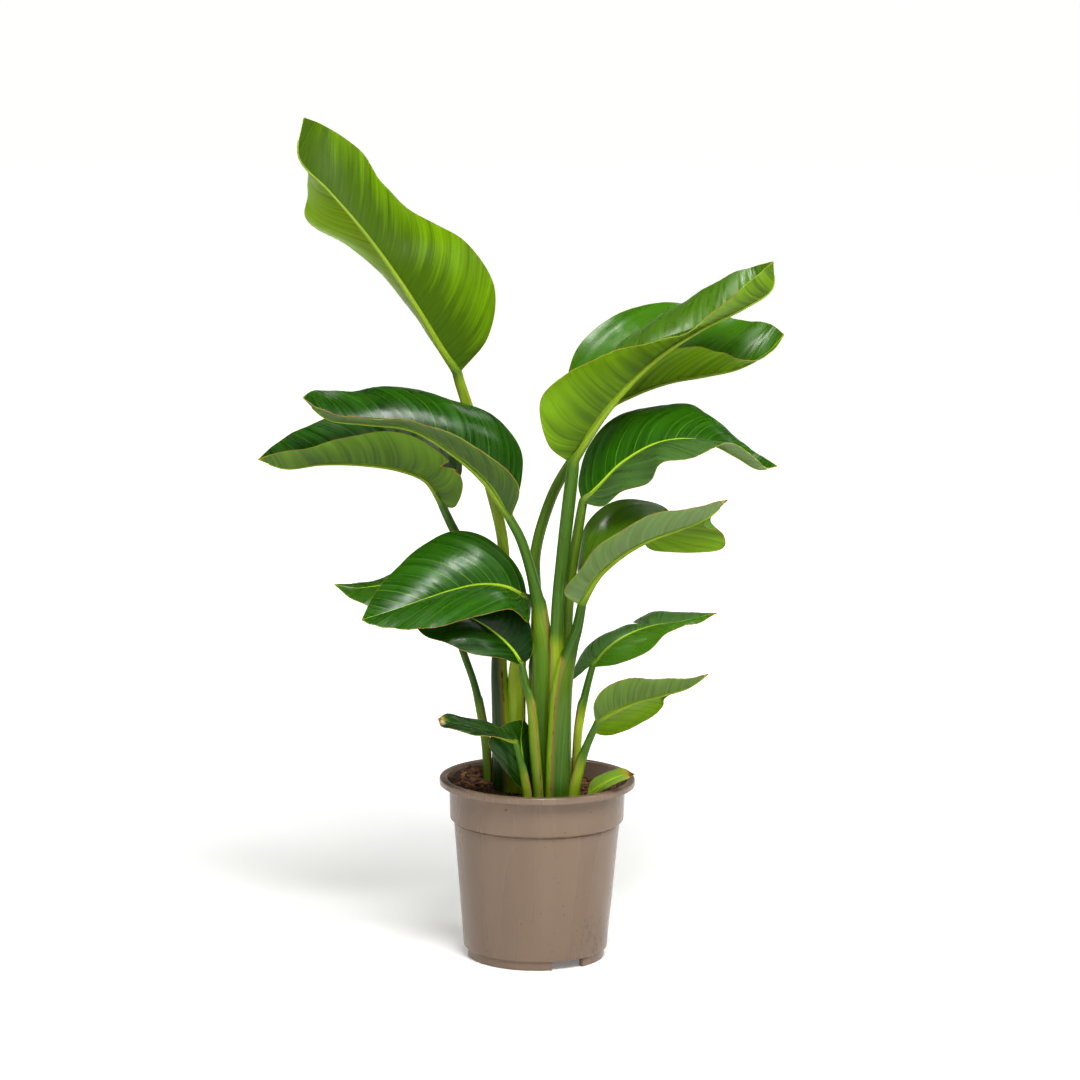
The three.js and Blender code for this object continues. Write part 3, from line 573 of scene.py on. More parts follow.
# Broad open blade facing the front.
leafBroadLeft = {
    "name": "leaf_broad_left",
    "slot": "leaf_deep", "shoulder": 345, "lit": (0.15, 0.15), "veinsShown": 1.7, "slant": 1.1,
    "youngStalk": 0.5,
    "hand": -1,
    "arch": [0.13, 0.11],
    "rib": [
        [-13, -22, 395], [-36, -26, 407], [-64, -32, 410], [-93, -40, 405], [-122, -50, 397],
        [-155, -62, 387], [-187, -76, 379],
    ],
    "near": [
        [-13, -26, 393], [-11, -50, 374], [-29, -70, 391], [-62, -88, 387], [-93, -100, 381],
        [-120, -104, 376], [-150, -100, 375], [-173, -88, 376], [-187, -76, 379],
    ],
    "far": [
        [-13, -19, 396], [-19, -9, 417], [-34, -6, 438], [-61, -4, 458], [-91, 0, 462], [-121, -6, 450],
        [-148, -20, 429], [-173, -46, 404], [-187, -76, 379],
    ],
    "stalk": [
        [-21, -4, 170, 9], [-22, -4, 247, 9.5], [-23, -4, 302, 9.5], [-20, -8, 341, 7],
        [-15, -15, 372, 5.2], [-13, -22, 395, 4.6],
    ],
}

# Blade behind the highest one.
leafRearRight = {
    "name": "leaf_rear_right",
    "slot": "leaf_lit", "shoulder": 322, "lit": (0.5, 0.45), "slant": 1.4, "young": (0.15, 0.1),
    "palePetiole": 0.08, "youngStalk": 0.3,
    "hand": 1,
    "arch": [0.05, 0.12],
    "rib": [
        [46, 34, 552], [67, 32, 590], [100, 30, 609], [136, 28, 622], [172, 24, 629], [208, 18, 638],
        [237, 10, 655], [256, 2, 677],
    ],
    "near": [
        [45, 32, 552], [35, 14, 581], [51, 0, 615], [85, -6, 642], [120, -8, 658], [158, -6, 664],
        [190, -2, 657], [220, 2, 648], [243, 4, 658], [256, 2, 677],
    ],
    "far": [
        [48, 36, 552], [26, 60, 592], [37, 84, 647], [80, 92, 685], [129, 92, 698], [171, 86, 695],
        [208, 68, 684], [240, 38, 684], [256, 2, 677],
    ],
    "stalk": [
        [1, 2, 169, 9.5], [0, 2, 235, 9.5], [-1, 2, 312, 9.2], [-3, 3, 383, 6], [-5, 7, 439, 5.9],
        [11, 18, 496, 5.7], [32, 29, 534, 5.4], [46, 34, 552, 4.6],
    ],
}

# Tallest blade, its underside to the front.
leafTallest = {
    "name": "leaf_tallest",
    "slot": "leaf_lit", "shoulder": 390, "young": (0.1, 0.42), "lit": (-0.35, 0.0), "veinSpacing": 6,
    "slant": 0.55, "shadeStalk": 1.0, "palePetiole": 0.45, "opening": 1.25, "notches": 5.0,
    "hand": -1,
    "arch": [-0.08, -0.08],
    "rib": [
        [-90, -5, 634], [-109, -12, 665], [-129, -18, 699], [-150, -21, 732], [-173, -22, 764],
        [-199, -20, 796], [-226, -16, 826], [-257, -8, 859], [-253, -2, 901],
    ],
    "near": [
        [-86, -4, 634], [-57, 0, 672], [-52, 8, 725], [-84, 14, 771], [-138, 20, 800], [-170, 18, 830],
        [-195, 14, 866], [-230, 4, 891], [-253, -2, 901],
    ],
    "far": [
        [-91, -3, 631], [-109, 30, 650], [-136, 44, 689], [-167, 48, 728], [-207, 46, 762], [-250, 40, 786],
        [-250, 38, 821], [-250, 24, 864], [-253, -2, 901],
    ],
    "stalk": [
        [-35, 0, 169, 11], [-39, 0, 268, 10.5], [-42, 3, 322, 8.5], [-39, 7, 381, 6.5], [-39, 10, 446, 5.8],
        [-54, 10, 511, 5.7], [-74, 5, 581, 5.6], [-89, -4, 629, 5],
    ],
}

# Long blade that points to the left.
leafLongLeft = {
    "name": "leaf_long_left",
    "slot": "leaf_deep", "shoulder": 350, "lit": (0.25, -0.15), "slant": 0.6, "bloom": (0.2, 0.0),
    "dying": 0.7,
    "tears": [{"side": 1, "at": 0.3, "half": 0.02, "depth": 0.25}],
    "spots": [
        {"side": 1, "at": 0.27, "size": 4, "depth": 0.9}, {"side": 1, "at": 0.31, "size": 3, "depth": 0.9},
    ],
    "hand": -1,
    "arch": [0.05, 0.1],
    "rib": [
        [-106, 30, 488], [-121, 24, 513], [-151, 16, 526], [-190, 8, 532], [-232, 0, 533], [-270, -8, 529],
        [-300, -14, 539],
    ],
    "near": [
        [-105, 28, 484], [-90, 14, 487], [-83, 2, 515], [-100, -2, 540], [-134, -8, 565], [-174, -14, 570],
        [-213, -20, 563], [-249, -24, 553], [-278, -22, 548], [-300, -14, 539],
    ],
    "far": [
        [-106, 32, 490], [-85, 52, 520], [-102, 62, 562], [-141, 62, 585], [-188, 56, 589], [-232, 46, 574],
        [-262, 30, 563], [-284, 10, 551], [-300, -14, 539],
    ],
    "stalk": [
        [-42, 22, 164, 7], [-42, 22, 230, 7], [-41, 22, 307, 6.5], [-48, 25, 367, 5.6], [-67, 28, 415, 5.2],
        [-91, 31, 456, 4.8], [-106, 30, 487, 4.2],
    ],
}

# Blade behind the broad one, with only its end in view.
leafRearLeft = {
    "name": "leaf_rear_left",
    "slot": "leaf_deep", "shoulder": 275, "lit": (0.15, 0.1), "young": (0.05, 0.05), "veinsShown": 0.4,
    "shoulderStep": 3.0,
    "hand": -1,
    "arch": [0.1, 0.1],
    "rib": [
        [-98, 44, 379], [-118, 40, 391], [-144, 34, 397], [-171, 28, 397], [-196, 22, 395], [-220, 16, 400],
    ],
    "near": [
        [-98, 42, 377], [-106, 20, 366], [-138, 6, 366], [-166, 0, 374], [-187, 2, 381], [-205, 8, 389],
        [-220, 16, 400],
    ],
    "far": [
        [-98, 46, 381], [-108, 72, 396], [-135, 80, 403], [-157, 76, 401], [-177, 62, 395], [-198, 40, 397],
        [-220, 16, 400],
    ],
    "stalk": [
        [-53, 24, 164, 4.8], [-55, 24, 219, 5], [-61, 26, 257, 4.8], [-69, 30, 291, 3.8],
        [-84, 36, 332, 3.6], [-98, 44, 379, 3],
    ],
}


# How every blade is divided and thickened.
blade = {
    "thickness": 0.7,
    "stepsAlong": 210,
    "stepsAcross": 24,
    "smallStepsAlong": 100,
    "smallStepsAcross": 12,
    "smallLength": 160,
    "ribCrowding": 1.35,  # more steps near the midrib than near the margin
    "tip": 0.996,
    "veinSpacing": 12.0,
    "smallSpacing": 0.7,  # share of that spacing on a small blade
    "veinSlant": 0.6,
    "veinCurve": 0.0025,
    "veinSway": 2.6,  # millimetres that a vein strays in long waves, and radians per millimetre
    "veinSwayRate": 0.11,
    "veinRipple": 1.7,  # and in short ones
    "veinRippleRate": 0.31,
    "veinRelief": 0.16,
    "reliefFrom": 1.5,
    "reliefTo": 12.0,
    "channelDepth": 0.6,
    "channelWidth": 2.6,
    "waveHeight": 0.8,
    "waveLength": 46.0,
    "tipDying": 0.5,
    "tipBrowning": 5.0,
    "ribHalf": 3.2,
    "ribEnd": 0.92,
    "ribLeast": 0.12,
    "ribFlat": 0.02,  # share of a half's width that faces as the midrib does
    "phaseStep": 0.7,  # from leaf to leaf, so that no two have the same waves
    "crease": 1.0,  # radians between two faces, above which their edge stays sharp
    "measureSteps": 40,
}

# How every stalk is divided, and how its sheath and its groove are shaped.
stalk = {
    "footZ": 142.0,
    "sides": 28,
    "steps": 60,
    "keelSteps": 50,
    "keelEnd": 0.93,
    "keelTip": 0.6,
    "keelOffset": 0.55,
    "keelRunIn": 0.125,
    "keelPaleness": 0.45,
    "keelPaleFrom": -0.05,
    "keelPaleTo": 0.1,
    "lidRunIn": 0.06,
    "fuller": 0.08,
    "paleRun": 34.0,
    "paleShare": 0.5,
    "turnFrom": 0.45,  # share of the length at which the stalk starts to turn its face to the blade's
    "bladeFoot": 0.02,  # share of the rib's length at which the blade's face is read for that
    # painted shade on the stalk deepens from the first height down to the second, partly the stalk's own
    # darker green
    "shadeFrom": 450.0,
    "shadeFull": 370.0,
    "sheathOpening": 0.6,  # radians either side of the direction to the plant's middle
    "sheathStep": 0.8,
    "marginRaised": 0.5,  # this far from the margin the sheath stands full
    "marginSunk": -0.7,  # and this far into its gap the surface is sunk by sheathStep
    "marginClosed": 9.0,  # how far off the margin is moved where the sheath has ended
    "closedFrom": 0.5,  # shares of sheath left there
    "closedFull": 0.1,
    "shoulderStep": 2.2,
    "shoulderFade": 45.0,
    "shoulderRun": 26.0,
    "shoulderLead": 4.0,
    "stepTop": 3.0,  # the shoulder's step rises between these heights from it
    "stepFull": -5.0,
    "notchLength": 9.0,
    "grooveDepth": 0.16,
    "grooveWidth": 0.5,
}


plain = (0.0, 0.0)  # near half and far half of a blade with nothing added to its colour


def cutAt(leaf, side, t):
    # share of the half's width that a tear or a notch takes away at t
    cut = 0.0
    for tear in leaf.get("tears", []):
        if tear["side"] == side:
            cut = max(cut, tear["depth"] * max(0.0, 1 - abs(t - tear["at"]) / tear["half"]))
    return cut


def upperAt(leaf, t, forward, rib):
    # direction out of the upper face at the midrib
    near = (curveAt(leaf["near"], t) - rib).cross(forward).normalized()
    far = (curveAt(leaf["far"], t) - rib).cross(forward).normalized()
    return ((near - far) * leaf["hand"]).normalized()


def bladeRow(leaf, t):
    rib = curveAt(leaf["rib"], t)
    forward = directionAt(leaf["rib"], t)
    row = {"rib": rib, "upper": upperAt(leaf, t, forward, rib)}
    for side, margin, arch in ((1, "near", leaf["arch"][0]), (-1, "far", leaf["arch"][1])):
        reach = (curveAt(leaf[margin], t) - rib) * (1 - cutAt(leaf, side, t))
        upper = reach.cross(forward).normalized() * side * leaf["hand"]
        row[side] = (reach, upper, arch * math.sin(math.pi * t))
    return row


def makeBlade(leaf, phase):
    ribPoints = [curveAt(leaf["rib"], i / blade["measureSteps"]) for i in range(blade["measureSteps"] + 1)]
    length = sum((b - a).length for a, b in zip(ribPoints, ribPoints[1:]))
    small = length < blade["smallLength"]
    alongSteps = blade["smallStepsAlong"] if small else blade["stepsAlong"]
    acrossSteps = blade["smallStepsAcross"] if small else blade["stepsAcross"]
    spacing = leaf.get("veinSpacing", blade["veinSpacing"]) * (blade["smallSpacing"] if small else 1.0)
    bm = bmesh.new()
    leafPlace = bm.verts.layers.float_vector.new("leafPlace")
    leafTone = bm.verts.layers.float_vector.new("leafTone")
    leafShade = bm.verts.layers.float_vector.new("leafShade")
    bmesh.ops.create_grid(bm, x_segments=alongSteps, y_segments=2 * acrossSteps, size=1)
    rows = {}
    for vert in bm.verts:
        gridX, gridY = vert.co.x, vert.co.y
        t = blade["tip"] * (gridX + 1) / 2
        key = round(gridX, 5)
        if key not in rows:
            rows[key] = bladeRow(leaf, t)
        row = rows[key]
        w = -leaf["hand"] * gridY
        side = 1 if w >= 0 else -1
        v = abs(w) ** blade["ribCrowding"]
        reach, upper, arch = row[side]
        width = reach.length
        across = width * v
        along = length * t
        drift = along - leaf.get("slant", blade["veinSlant"]) * across - blade["veinCurve"] * across * across
        sway = blade["veinSway"] * math.sin(drift * blade["veinSwayRate"] + phase)
        ripple = blade["veinRipple"] * math.sin(drift * blade["veinRippleRate"])
        veins = (drift + sway + ripple) / spacing
        outward = upper if v > blade["ribFlat"] else row["upper"]
        bulge = arch * width * 4 * v * (1 - v)
        ridge = blade["veinRelief"] * math.cos(2 * math.pi * veins)
        ridge *= smoothStep(blade["reliefFrom"], blade["reliefTo"], across)
        channel = -blade["channelDepth"] * math.exp(-(across / blade["channelWidth"]) ** 2) * (1 - t)
        wave = blade["waveHeight"] * leaf.get("wavy", 1.0) * v * v * math.sqrt(math.sin(math.pi * t) + 1e-6)
        wave *= math.sin(2 * math.pi * drift / blade["waveLength"] + phase + side)
        vert.co = row["rib"] + reach * v + outward * (bulge + ridge + channel + wave)
        toTip = (row["rib"] - leaf["rib"][-1]).length
        edge = width * (1 - v)
        dying = leaf.get("dying", blade["tipDying"])
        dying *= math.exp(-toTip / leaf.get("dyingLength", blade["tipBrowning"]))
        for spot in leaf.get("spots", []):
            reachOfSpot = ((t - spot["at"]) * length / spot["size"]) ** 2 + (edge / spot["size"]) ** 2
            if spot["side"] == side:
                dying = max(dying, spot["depth"] * math.exp(-reachOfSpot))
        vert[leafPlace] = (veins, across * side, edge)
        ribHalf = blade["ribHalf"] * leaf.get("ribWidth", 1.0)
        ribHalf *= max(blade["ribLeast"], 1 - t / blade["ribEnd"])
        half = 0 if side == 1 else 1
        vert[leafTone] = (leaf.get("young", plain)[half], dying, across / ribHalf)
        vert[leafShade] = (leaf["lit"][half], leaf.get("bloom", plain)[half], leaf.get("veinsShown", 1.0))
    thicken(bm, blade["thickness"])
    return newPiece(leaf["name"] + "_blade", bm, [upperFace, lowerFace], leaf["name"])


def thicken(bm, thickness):
    # gives a sheet whose normals point out of its upper face a lower face and a rim
    upperFaces = list(bm.faces)
    lift = bm.verts.layers.float_vector.new("lift")
    bm.normal_update()
    for vert in bm.verts:
        vert[lift] = vert.normal * thickness
        vert.co += vert.normal * thickness / 2
    made = bmesh.ops.extrude_face_region(bm, geom=upperFaces, use_keep_orig=True)["geom"]
    for vert in made:
        if isinstance(vert, bmesh.types.BMVert):
            vert.co -= vert[lift]
    bm.verts.layers.float_vector.remove(lift)
    bmesh.ops.recalc_face_normals(bm, faces=bm.faces)
    known = set(upperFaces)
    for face in bm.faces:
        face.smooth = True
        face.material_index = 0 if face in known else 1
    for edge in bm.edges:
        if len(edge.link_faces) == 2 and edge.calc_face_angle() > blade["crease"]:
            edge.smooth = False


def stalkRings(leaf):
    # centres, radii and frames of the rings, from the foot in the bark to the end of the keel under the blade
    low = leaf["stalk"][0]
    points = [Vector((low[0], low[1], stalk["footZ"], low[3]))] + leaf["stalk"]
    inward = Vector((-leaf["hand"], 0, 0))
    foot = stalk["bladeFoot"]
    bladeUp = upperAt(leaf, foot, directionAt(leaf["rib"], foot), curveAt(leaf["rib"], foot))
    rings = []
    step = leaf.get("shoulderStep", stalk["shoulderStep"])
    for i in range(stalk["steps"]):
        t = i / stalk["steps"]
        at = curveAt(points, t)
        shoulder = leaf["shoulder"]
        sheath = smoothStep(shoulder + stalk["shoulderLead"], shoulder - stalk["shoulderRun"], at.z)
        belowShoulder = max(0.0, shoulder - at.z)
        rise = smoothStep(stalk["stepTop"], stalk["stepFull"], at.z - shoulder)
        pale = leaf.get("youngStalk", 0.0) + stalk["paleShare"] * math.exp(-belowShoulder / stalk["paleRun"])
        rings.append({
            "centre": at.to_3d(),
            "radius": at[3] * (1 + stalk["fuller"] * (1 - sheath)),
            "facing": inward.lerp(bladeUp, smoothStep(stalk["turnFrom"], 1.0, t)),
            "sheath": sheath,
            "step": step * rise * math.exp(-belowShoulder / stalk["shoulderFade"]),
            "lid": 1.0,
            "young": leaf.get("palePetiole", 0.0) * (1 - sheath) + sheath * pale,
            # painted shade low on the stalk, partly its own darker green
            "shade": leaf.get("shadeStalk", 0.0) * smoothStep(stalk["shadeFrom"], stalk["shadeFull"], at.z),
        })
    topRadius = leaf["stalk"][-1][3] * (1 + stalk["fuller"])
    for i in range(stalk["keelSteps"] + 1):
        t = stalk["keelEnd"] * i / stalk["keelSteps"]
        rib = curveAt(leaf["rib"], t)
        up = upperAt(leaf, t, directionAt(leaf["rib"], t), rib)
        radius = topRadius + (stalk["keelTip"] - topRadius) * math.sqrt(t)
        sunk = radius * stalk["keelOffset"] * min(1.0, t / stalk["keelRunIn"])
        lid = 1.0 + (sunk / radius - 1.0) * smoothStep(0.0, stalk["lidRunIn"], t)
        rings.append({
            "centre": rib - up * sunk,
            "radius": radius,
            "facing": up,
            "sheath": 0.0,
            "step": 0.0,
            "lid": lid,
            "young": stalk["keelPaleness"] * smoothStep(stalk["keelPaleFrom"], stalk["keelPaleTo"], t),
            "shade": 0.0,
        })
    last = len(rings) - 1
    travelled = 0.0
    for i, ring in enumerate(rings):
        forward = (rings[min(i + 1, last)]["centre"] - rings[max(i - 1, 0)]["centre"]).normalized()
        facing = ring["facing"] - forward * ring["facing"].dot(forward)
        ring["facing"] = facing.normalized()
        ring["aside"] = forward.cross(ring["facing"])
        travelled += (ring["centre"] - rings[max(i - 1, 0)]["centre"]).length
        ring["along"] = travelled
    return rings


def makeStalk(leaf):
    rings = stalkRings(leaf)
    opening = leaf.get("opening", stalk["sheathOpening"])
    bm = bmesh.new()
    stalkPlace = bm.verts.layers.float_vector.new("stalkPlace")
    stalkTone = bm.verts.layers.float_vector.new("stalkTone")
    bmesh.ops.create_cone(bm, cap_ends=True, segments=stalk["sides"], radius1=1, radius2=1, depth=1)
    upright = [edge for edge in bm.edges if abs(edge.verts[0].co.z - edge.verts[1].co.z) > 0.5]
    bmesh.ops.subdivide_edges(bm, edges=upright, cuts=len(rings) - 2, use_grid_fill=True)
    for vert in bm.verts:
        ring = rings[round((vert.co.z + 0.5) * (len(rings) - 1))]
        turn = abs(math.atan2(vert.co.y, vert.co.x))
        towards = Vector((vert.co.x, vert.co.y)).normalized()
        # the margin of an old sheath is eaten away in notches
        ragged = noise.noise(Vector((ring["along"] / stalk["notchLength"], 0, leaf["shoulder"])))
        notch = leaf.get("notches", 0.0) * max(0.0, ragged) * ring["sheath"]
        toMargin = (turn - opening) * ring["radius"] - notch
        inside = smoothStep(stalk["marginRaised"], stalk["marginSunk"], toMargin)
        radius = ring["radius"] - stalk["sheathStep"] * ring["sheath"] * inside
        radius += ring["step"] * max(0.0, math.cos(turn))
        groove = stalk["grooveDepth"] * (1 - ring["sheath"])
        radius *= 1 - groove * math.exp(-(turn / stalk["grooveWidth"]) ** 2)
        up = min(towards.x * radius, ring["lid"] * ring["radius"])
        vert.co = ring["centre"] + ring["facing"] * up + ring["aside"] * towards.y * radius
        vert[stalkPlace] = (ring["along"], turn * ring["radius"], ring["sheath"])
        closed = smoothStep(stalk["closedFrom"], stalk["closedFull"], ring["sheath"])
        margin = toMargin + stalk["marginClosed"] * closed
        vert[stalkTone] = (ring["young"], ring["shade"], margin)
    for face in bm.faces:
        face.smooth = len(face.verts) == 4
    return newPiece(leaf["name"] + "_stalk", bm, [stalkFinish], leaf["name"])


leaves = [
    leafLowLeft, leafDarkLeft, leafFoldedRight, leafLowRight, leafRimRight, leafYoungUpright, leafHighRight,
    leafArchingLeft, leafMiddleRight, leafTornRight, leafBroadLeft, leafRearRight, leafTallest, leafLongLeft,
    leafRearLeft,
]
for number, leaf in enumerate(leaves):
    for part in ("rib", "near", "far", "stalk"):
        leaf[part] = [Vector(point) for point in leaf[part]]
    makeBlade(leaf, blade["phaseStep"] * number)
    makeStalk(leaf)
print("leaves made:", len(leaves))


# Nursery pot of polypropylene, injection moulded in one piece and coloured right through: an even taupe with
# a satin gloss, a few dark specks of soil on it and faint upright flow marks.
pot = {
    "rimRadius": 105.0,
    "rimTopZ": 195.5,
    "lipHeight": 7.5,
    "lipRound": 2.2,
    "lipUnderRound": 1.0,
    "lipHollow": 1.2,
    "bandRound": 2.4,
    "bandRoundUp": 0.6,
    "rimInnerRadius": 96.5,
    "bandTopRadius": 94.6,
    "bandBottomRadius": 93.3,
    "bandBottomZ": 151.5,
    "bodyTopRadius": 89.2,
    "bodyTopZ": 148.5,
    "bodyTopRound": 0.6,
    "bodyTopRoundDown": 1.0,
    "bodyBottomRadius": 77.1,
    "bodyBottomZ": 10.5,
    "bodyBottomRound": 1.4,
    "bodyBottomRoundIn": 1.2,
    "bodyBottomRoundUp": 1.0,
    "footRadius": 74.5,
    "footWidth": 5.0,
    "footRound": 1.5,
    "wall": 1.6,
    "wallStepDown": 2.0,  # the inner wall follows the band this far below the lip
    "wallStepUp": 1.0,
    "floor": 2.0,
    "baseRadius": 66.0,
    "baseOverlap": 1.0,
    "baseInset": 0.1,
    "turns": 160,
    "wallSteps": 16,
    "roundSteps": 5,
    "gaps": 3,
    "gapMiddle": 28.5,
    "gapAngle": 29.0,
    "holes": 6,
    "holeRadius": 5.0,
    "holeRing": 45.0,
    "holeSides": 32,
    "weld": 0.01,
    "crease": 0.6,  # radians between two faces, above which their edge stays sharp
    "taupe": "#766353",
    "taupeLight": "#806c5b",
    "dirt": "#3b2a20",
    "smudgeAt": (0.062, -0.05, 0.03),  # metres
    "roughness": 0.26,
    "roughnessSpread": 0.02,
}


def plasticFace(tree):
    where = addNode(tree, "TexCoord", out="Object")
    # flow marks: broad, upright and faint, about 25 mm apart round the pot
    flowPlace = addNode(tree, "Mapping", {
        "Vector": where, "Rotation": (0, 0, 0.6), "Scale": (40.0, 40.0, 4.0),
    })
    flow = addNode(tree, "TexNoise", {"Vector": flowPlace, "Scale": 1.0, "Detail": 0.0})
    taupe = addNode(tree, "Mix", {0: flow, 6: linear(pot["taupe"]), 7: linear(pot["taupeLight"])}, out=2,
                    data_type="RGBA")
    grainPlace = addNode(tree, "Mapping", {"Vector": where, "Rotation": (0.5, 0.7, 0.6)})
    grain = addNode(tree, "TexNoise", {"Vector": grainPlace, "Scale": 700.0, "Detail": 2.0})
    # specks of soil half a millimetre to two millimetres wide, most of them low on the pot
    speck = addNode(tree, "TexNoise", {"Vector": grainPlace, "Scale": 260.0, "Detail": 1.0})
    height = addNode(tree, "SeparateXYZ", {0: where}, out=2)
    low = addNode(tree, "MapRange", {"Value": height, "From Min": 0.07, "From Max": 0.0, "To Max": 0.03})
    speck = addNode(tree, "Math", {0: speck, 1: low}, operation="ADD")
    isSpeck = addNode(tree, "MapRange", {"Value": speck, "From Min": 0.765, "From Max": 0.8, "To Max": 0.8})
    colour = addNode(tree, "Mix", {0: isSpeck, 6: taupe, 7: linear(pot["dirt"])}, out=2, data_type="RGBA")
    # soil rubbed on in one place near the foot, 40 mm wide
    offSmudge = addNode(tree, "VectorMath", {0: where, 1: pot["smudgeAt"]}, out="Value", operation="DISTANCE")
    rubbed = addNode(tree, "TexNoise", {"Vector": grainPlace, "Scale": 170.0, "Detail": 4.0})
    atSmudge = addNode(tree, "MapRange", {
        "Value": offSmudge, "From Min": 0.045, "From Max": 0.0, "To Max": 0.3,
    })
    smudge = addNode(tree, "Math", {0: rubbed, 1: atSmudge}, operation="ADD")
    isSmudge = addNode(tree, "MapRange", {"Value": smudge, "From Min": 0.7, "From Max": 1.0, "To Max": 0.5})
    colour = addNode(tree, "Mix", {0: isSmudge, 6: colour, 7: linear(pot["dirt"])}, out=2, data_type="RGBA")
    roughness = addNode(tree, "MapRange", {
        "Value": flow, "From Min": 0.3, "From Max": 0.7,
        "To Min": pot["roughness"], "To Max": pot["roughness"] + pot["roughnessSpread"],
    })
    bump = addNode(tree, "Bump", {"Height": grain, "Strength": 0.1, "Distance": 0.05 * mm})
    return addNode(tree, "BsdfPrincipled", {
        "Base Color": colour,
        "Roughness": roughness,
        "IOR": 1.49,
        "Normal": bump,
    })


def rounded(centreR, centreZ, radius, start, end):
    # points of an arc in the profile plane; angles in degrees from the outward direction
    steps = pot["roundSteps"]
    angles = [math.radians(start + (end - start) * i / steps) for i in range(steps + 1)]
    return [(centreR + radius * math.cos(a), centreZ + radius * math.sin(a)) for a in angles]


def spinProfile(profile, turns, arc=360.0):
    # turns a profile of (radius, height) points round the pot's axis into a closed solid; a profile that
    # starts off the axis is a loop, and an arc of less than a full turn gets flat ends
    isLoop = profile[0][0] > 0
    bm = bmesh.new()
    verts = [bm.verts.new((r, 0, z)) for r, z in profile]
    following = verts[1:] + verts[:1] if isLoop else verts[1:]
    edges = [bm.edges.new(pair) for pair in zip(verts, following)]
    spun = bmesh.ops.spin(bm, geom=verts + edges, cent=(0, 0, 0), axis=(0, 0, 1), angle=math.radians(arc),
                          steps=turns, use_merge=arc == 360.0)
    if arc < 360.0:
        for end in (edges, [e for e in spun["geom_last"] if isinstance(e, bmesh.types.BMEdge)]):
            bmesh.ops.contextual_create(bm, geom=end)
    bmesh.ops.remove_doubles(bm, verts=bm.verts, dist=pot["weld"])
    bmesh.ops.recalc_face_normals(bm, faces=bm.faces)
    return bm


def wallProfile():
    p = pot
    lipBottom = p["rimTopZ"] - p["lipHeight"]
    lip, underLip, hollow = p["lipRound"], p["lipUnderRound"], p["lipHollow"]
    bandRound, topRound = p["bandRound"], p["bodyTopRound"]
    innerFloor = p["bodyBottomZ"] + p["floor"]
    profile = [(p["baseRadius"], innerFloor), (p["baseRadius"], p["bodyBottomZ"])]
    profile += rounded(p["bodyBottomRadius"] - p["bodyBottomRoundIn"],
                       p["bodyBottomZ"] + p["bodyBottomRoundUp"], p["bodyBottomRound"], 270, 360)
    for i in range(1, p["wallSteps"]):
        share = i / p["wallSteps"]
        profile.append((
            p["bodyBottomRadius"] + (p["bodyTopRadius"] - p["bodyBottomRadius"]) * share,
            p["bodyBottomZ"] + (p["bodyTopZ"] - p["bodyBottomZ"]) * share,
        ))
    profile += rounded(p["bodyTopRadius"] - topRound, p["bodyTopZ"] - p["bodyTopRoundDown"], topRound, 0, 60)
    profile += rounded(p["bandBottomRadius"] - bandRound, p["bandBottomZ"] + p["bandRoundUp"], bandRound,
                       280, 360)
    profile += rounded(p["bandTopRadius"] + hollow, lipBottom - hollow, hollow, 180, 90)
    profile += rounded(p["rimRadius"] - underLip, lipBottom + underLip, underLip, 270, 360)
    profile += rounded(p["rimRadius"] - lip, p["rimTopZ"] - lip, lip, 0, 90)
    profile += rounded(p["rimInnerRadius"] + lip, p["rimTopZ"] - lip, lip, 90, 180)
    profile += [
        (p["bandTopRadius"] - p["wall"], lipBottom - p["wallStepDown"]),
        (p["bandBottomRadius"] - p["wall"], p["bandBottomZ"] + p["wallStepUp"]),
        (p["bodyTopRadius"] - p["wall"], p["bodyTopZ"]),
        (p["bodyBottomRadius"] - p["wall"], innerFloor),
    ]
    return profile


def footProfile():
    # the foot reaches up into the floor, so that the two are one
    p = pot
    foot = p["footRound"]
    footInner = p["footRadius"] - p["footWidth"]
    top = p["bodyBottomZ"] + p["floor"] / 2
    profile = [(footInner, top)]
    profile += rounded(footInner + foot, foot, foot, 180, 270)
    profile += rounded(p["footRadius"] - foot, foot, foot, 270, 360)
    return profile + [(p["footRadius"], top)]


def makeBase():
    # the floor of the pot inside its wall, with a ring of drain holes
    p = pot
    bm = bmesh.new()
    bmesh.ops.create_circle(bm, segments=p["turns"], radius=p["baseRadius"] + p["baseOverlap"])
    for i in range(p["holes"]):
        turn = Matrix.Rotation(2 * math.pi * i / p["holes"], 4, "Z")
        place = turn @ Matrix.Translation((p["holeRing"], 0, 0))
        bmesh.ops.create_circle(bm, segments=p["holeSides"], radius=p["holeRadius"], matrix=place)
    bmesh.ops.triangle_fill(bm, use_beauty=True, edges=bm.edges)
    raised = bmesh.ops.extrude_face_region(bm, geom=list(bm.faces), use_keep_orig=True)["geom"]
    raisedVerts = [made for made in raised if isinstance(made, bmesh.types.BMVert)]
    bmesh.ops.translate(bm, vec=(0, 0, p["floor"] - 2 * p["baseInset"]), verts=raisedVerts)
    bmesh.ops.translate(bm, vec=(0, 0, p["bodyBottomZ"] + p["baseInset"]), verts=bm.verts)
    bmesh.ops.recalc_face_normals(bm, faces=bm.faces)
    return bm


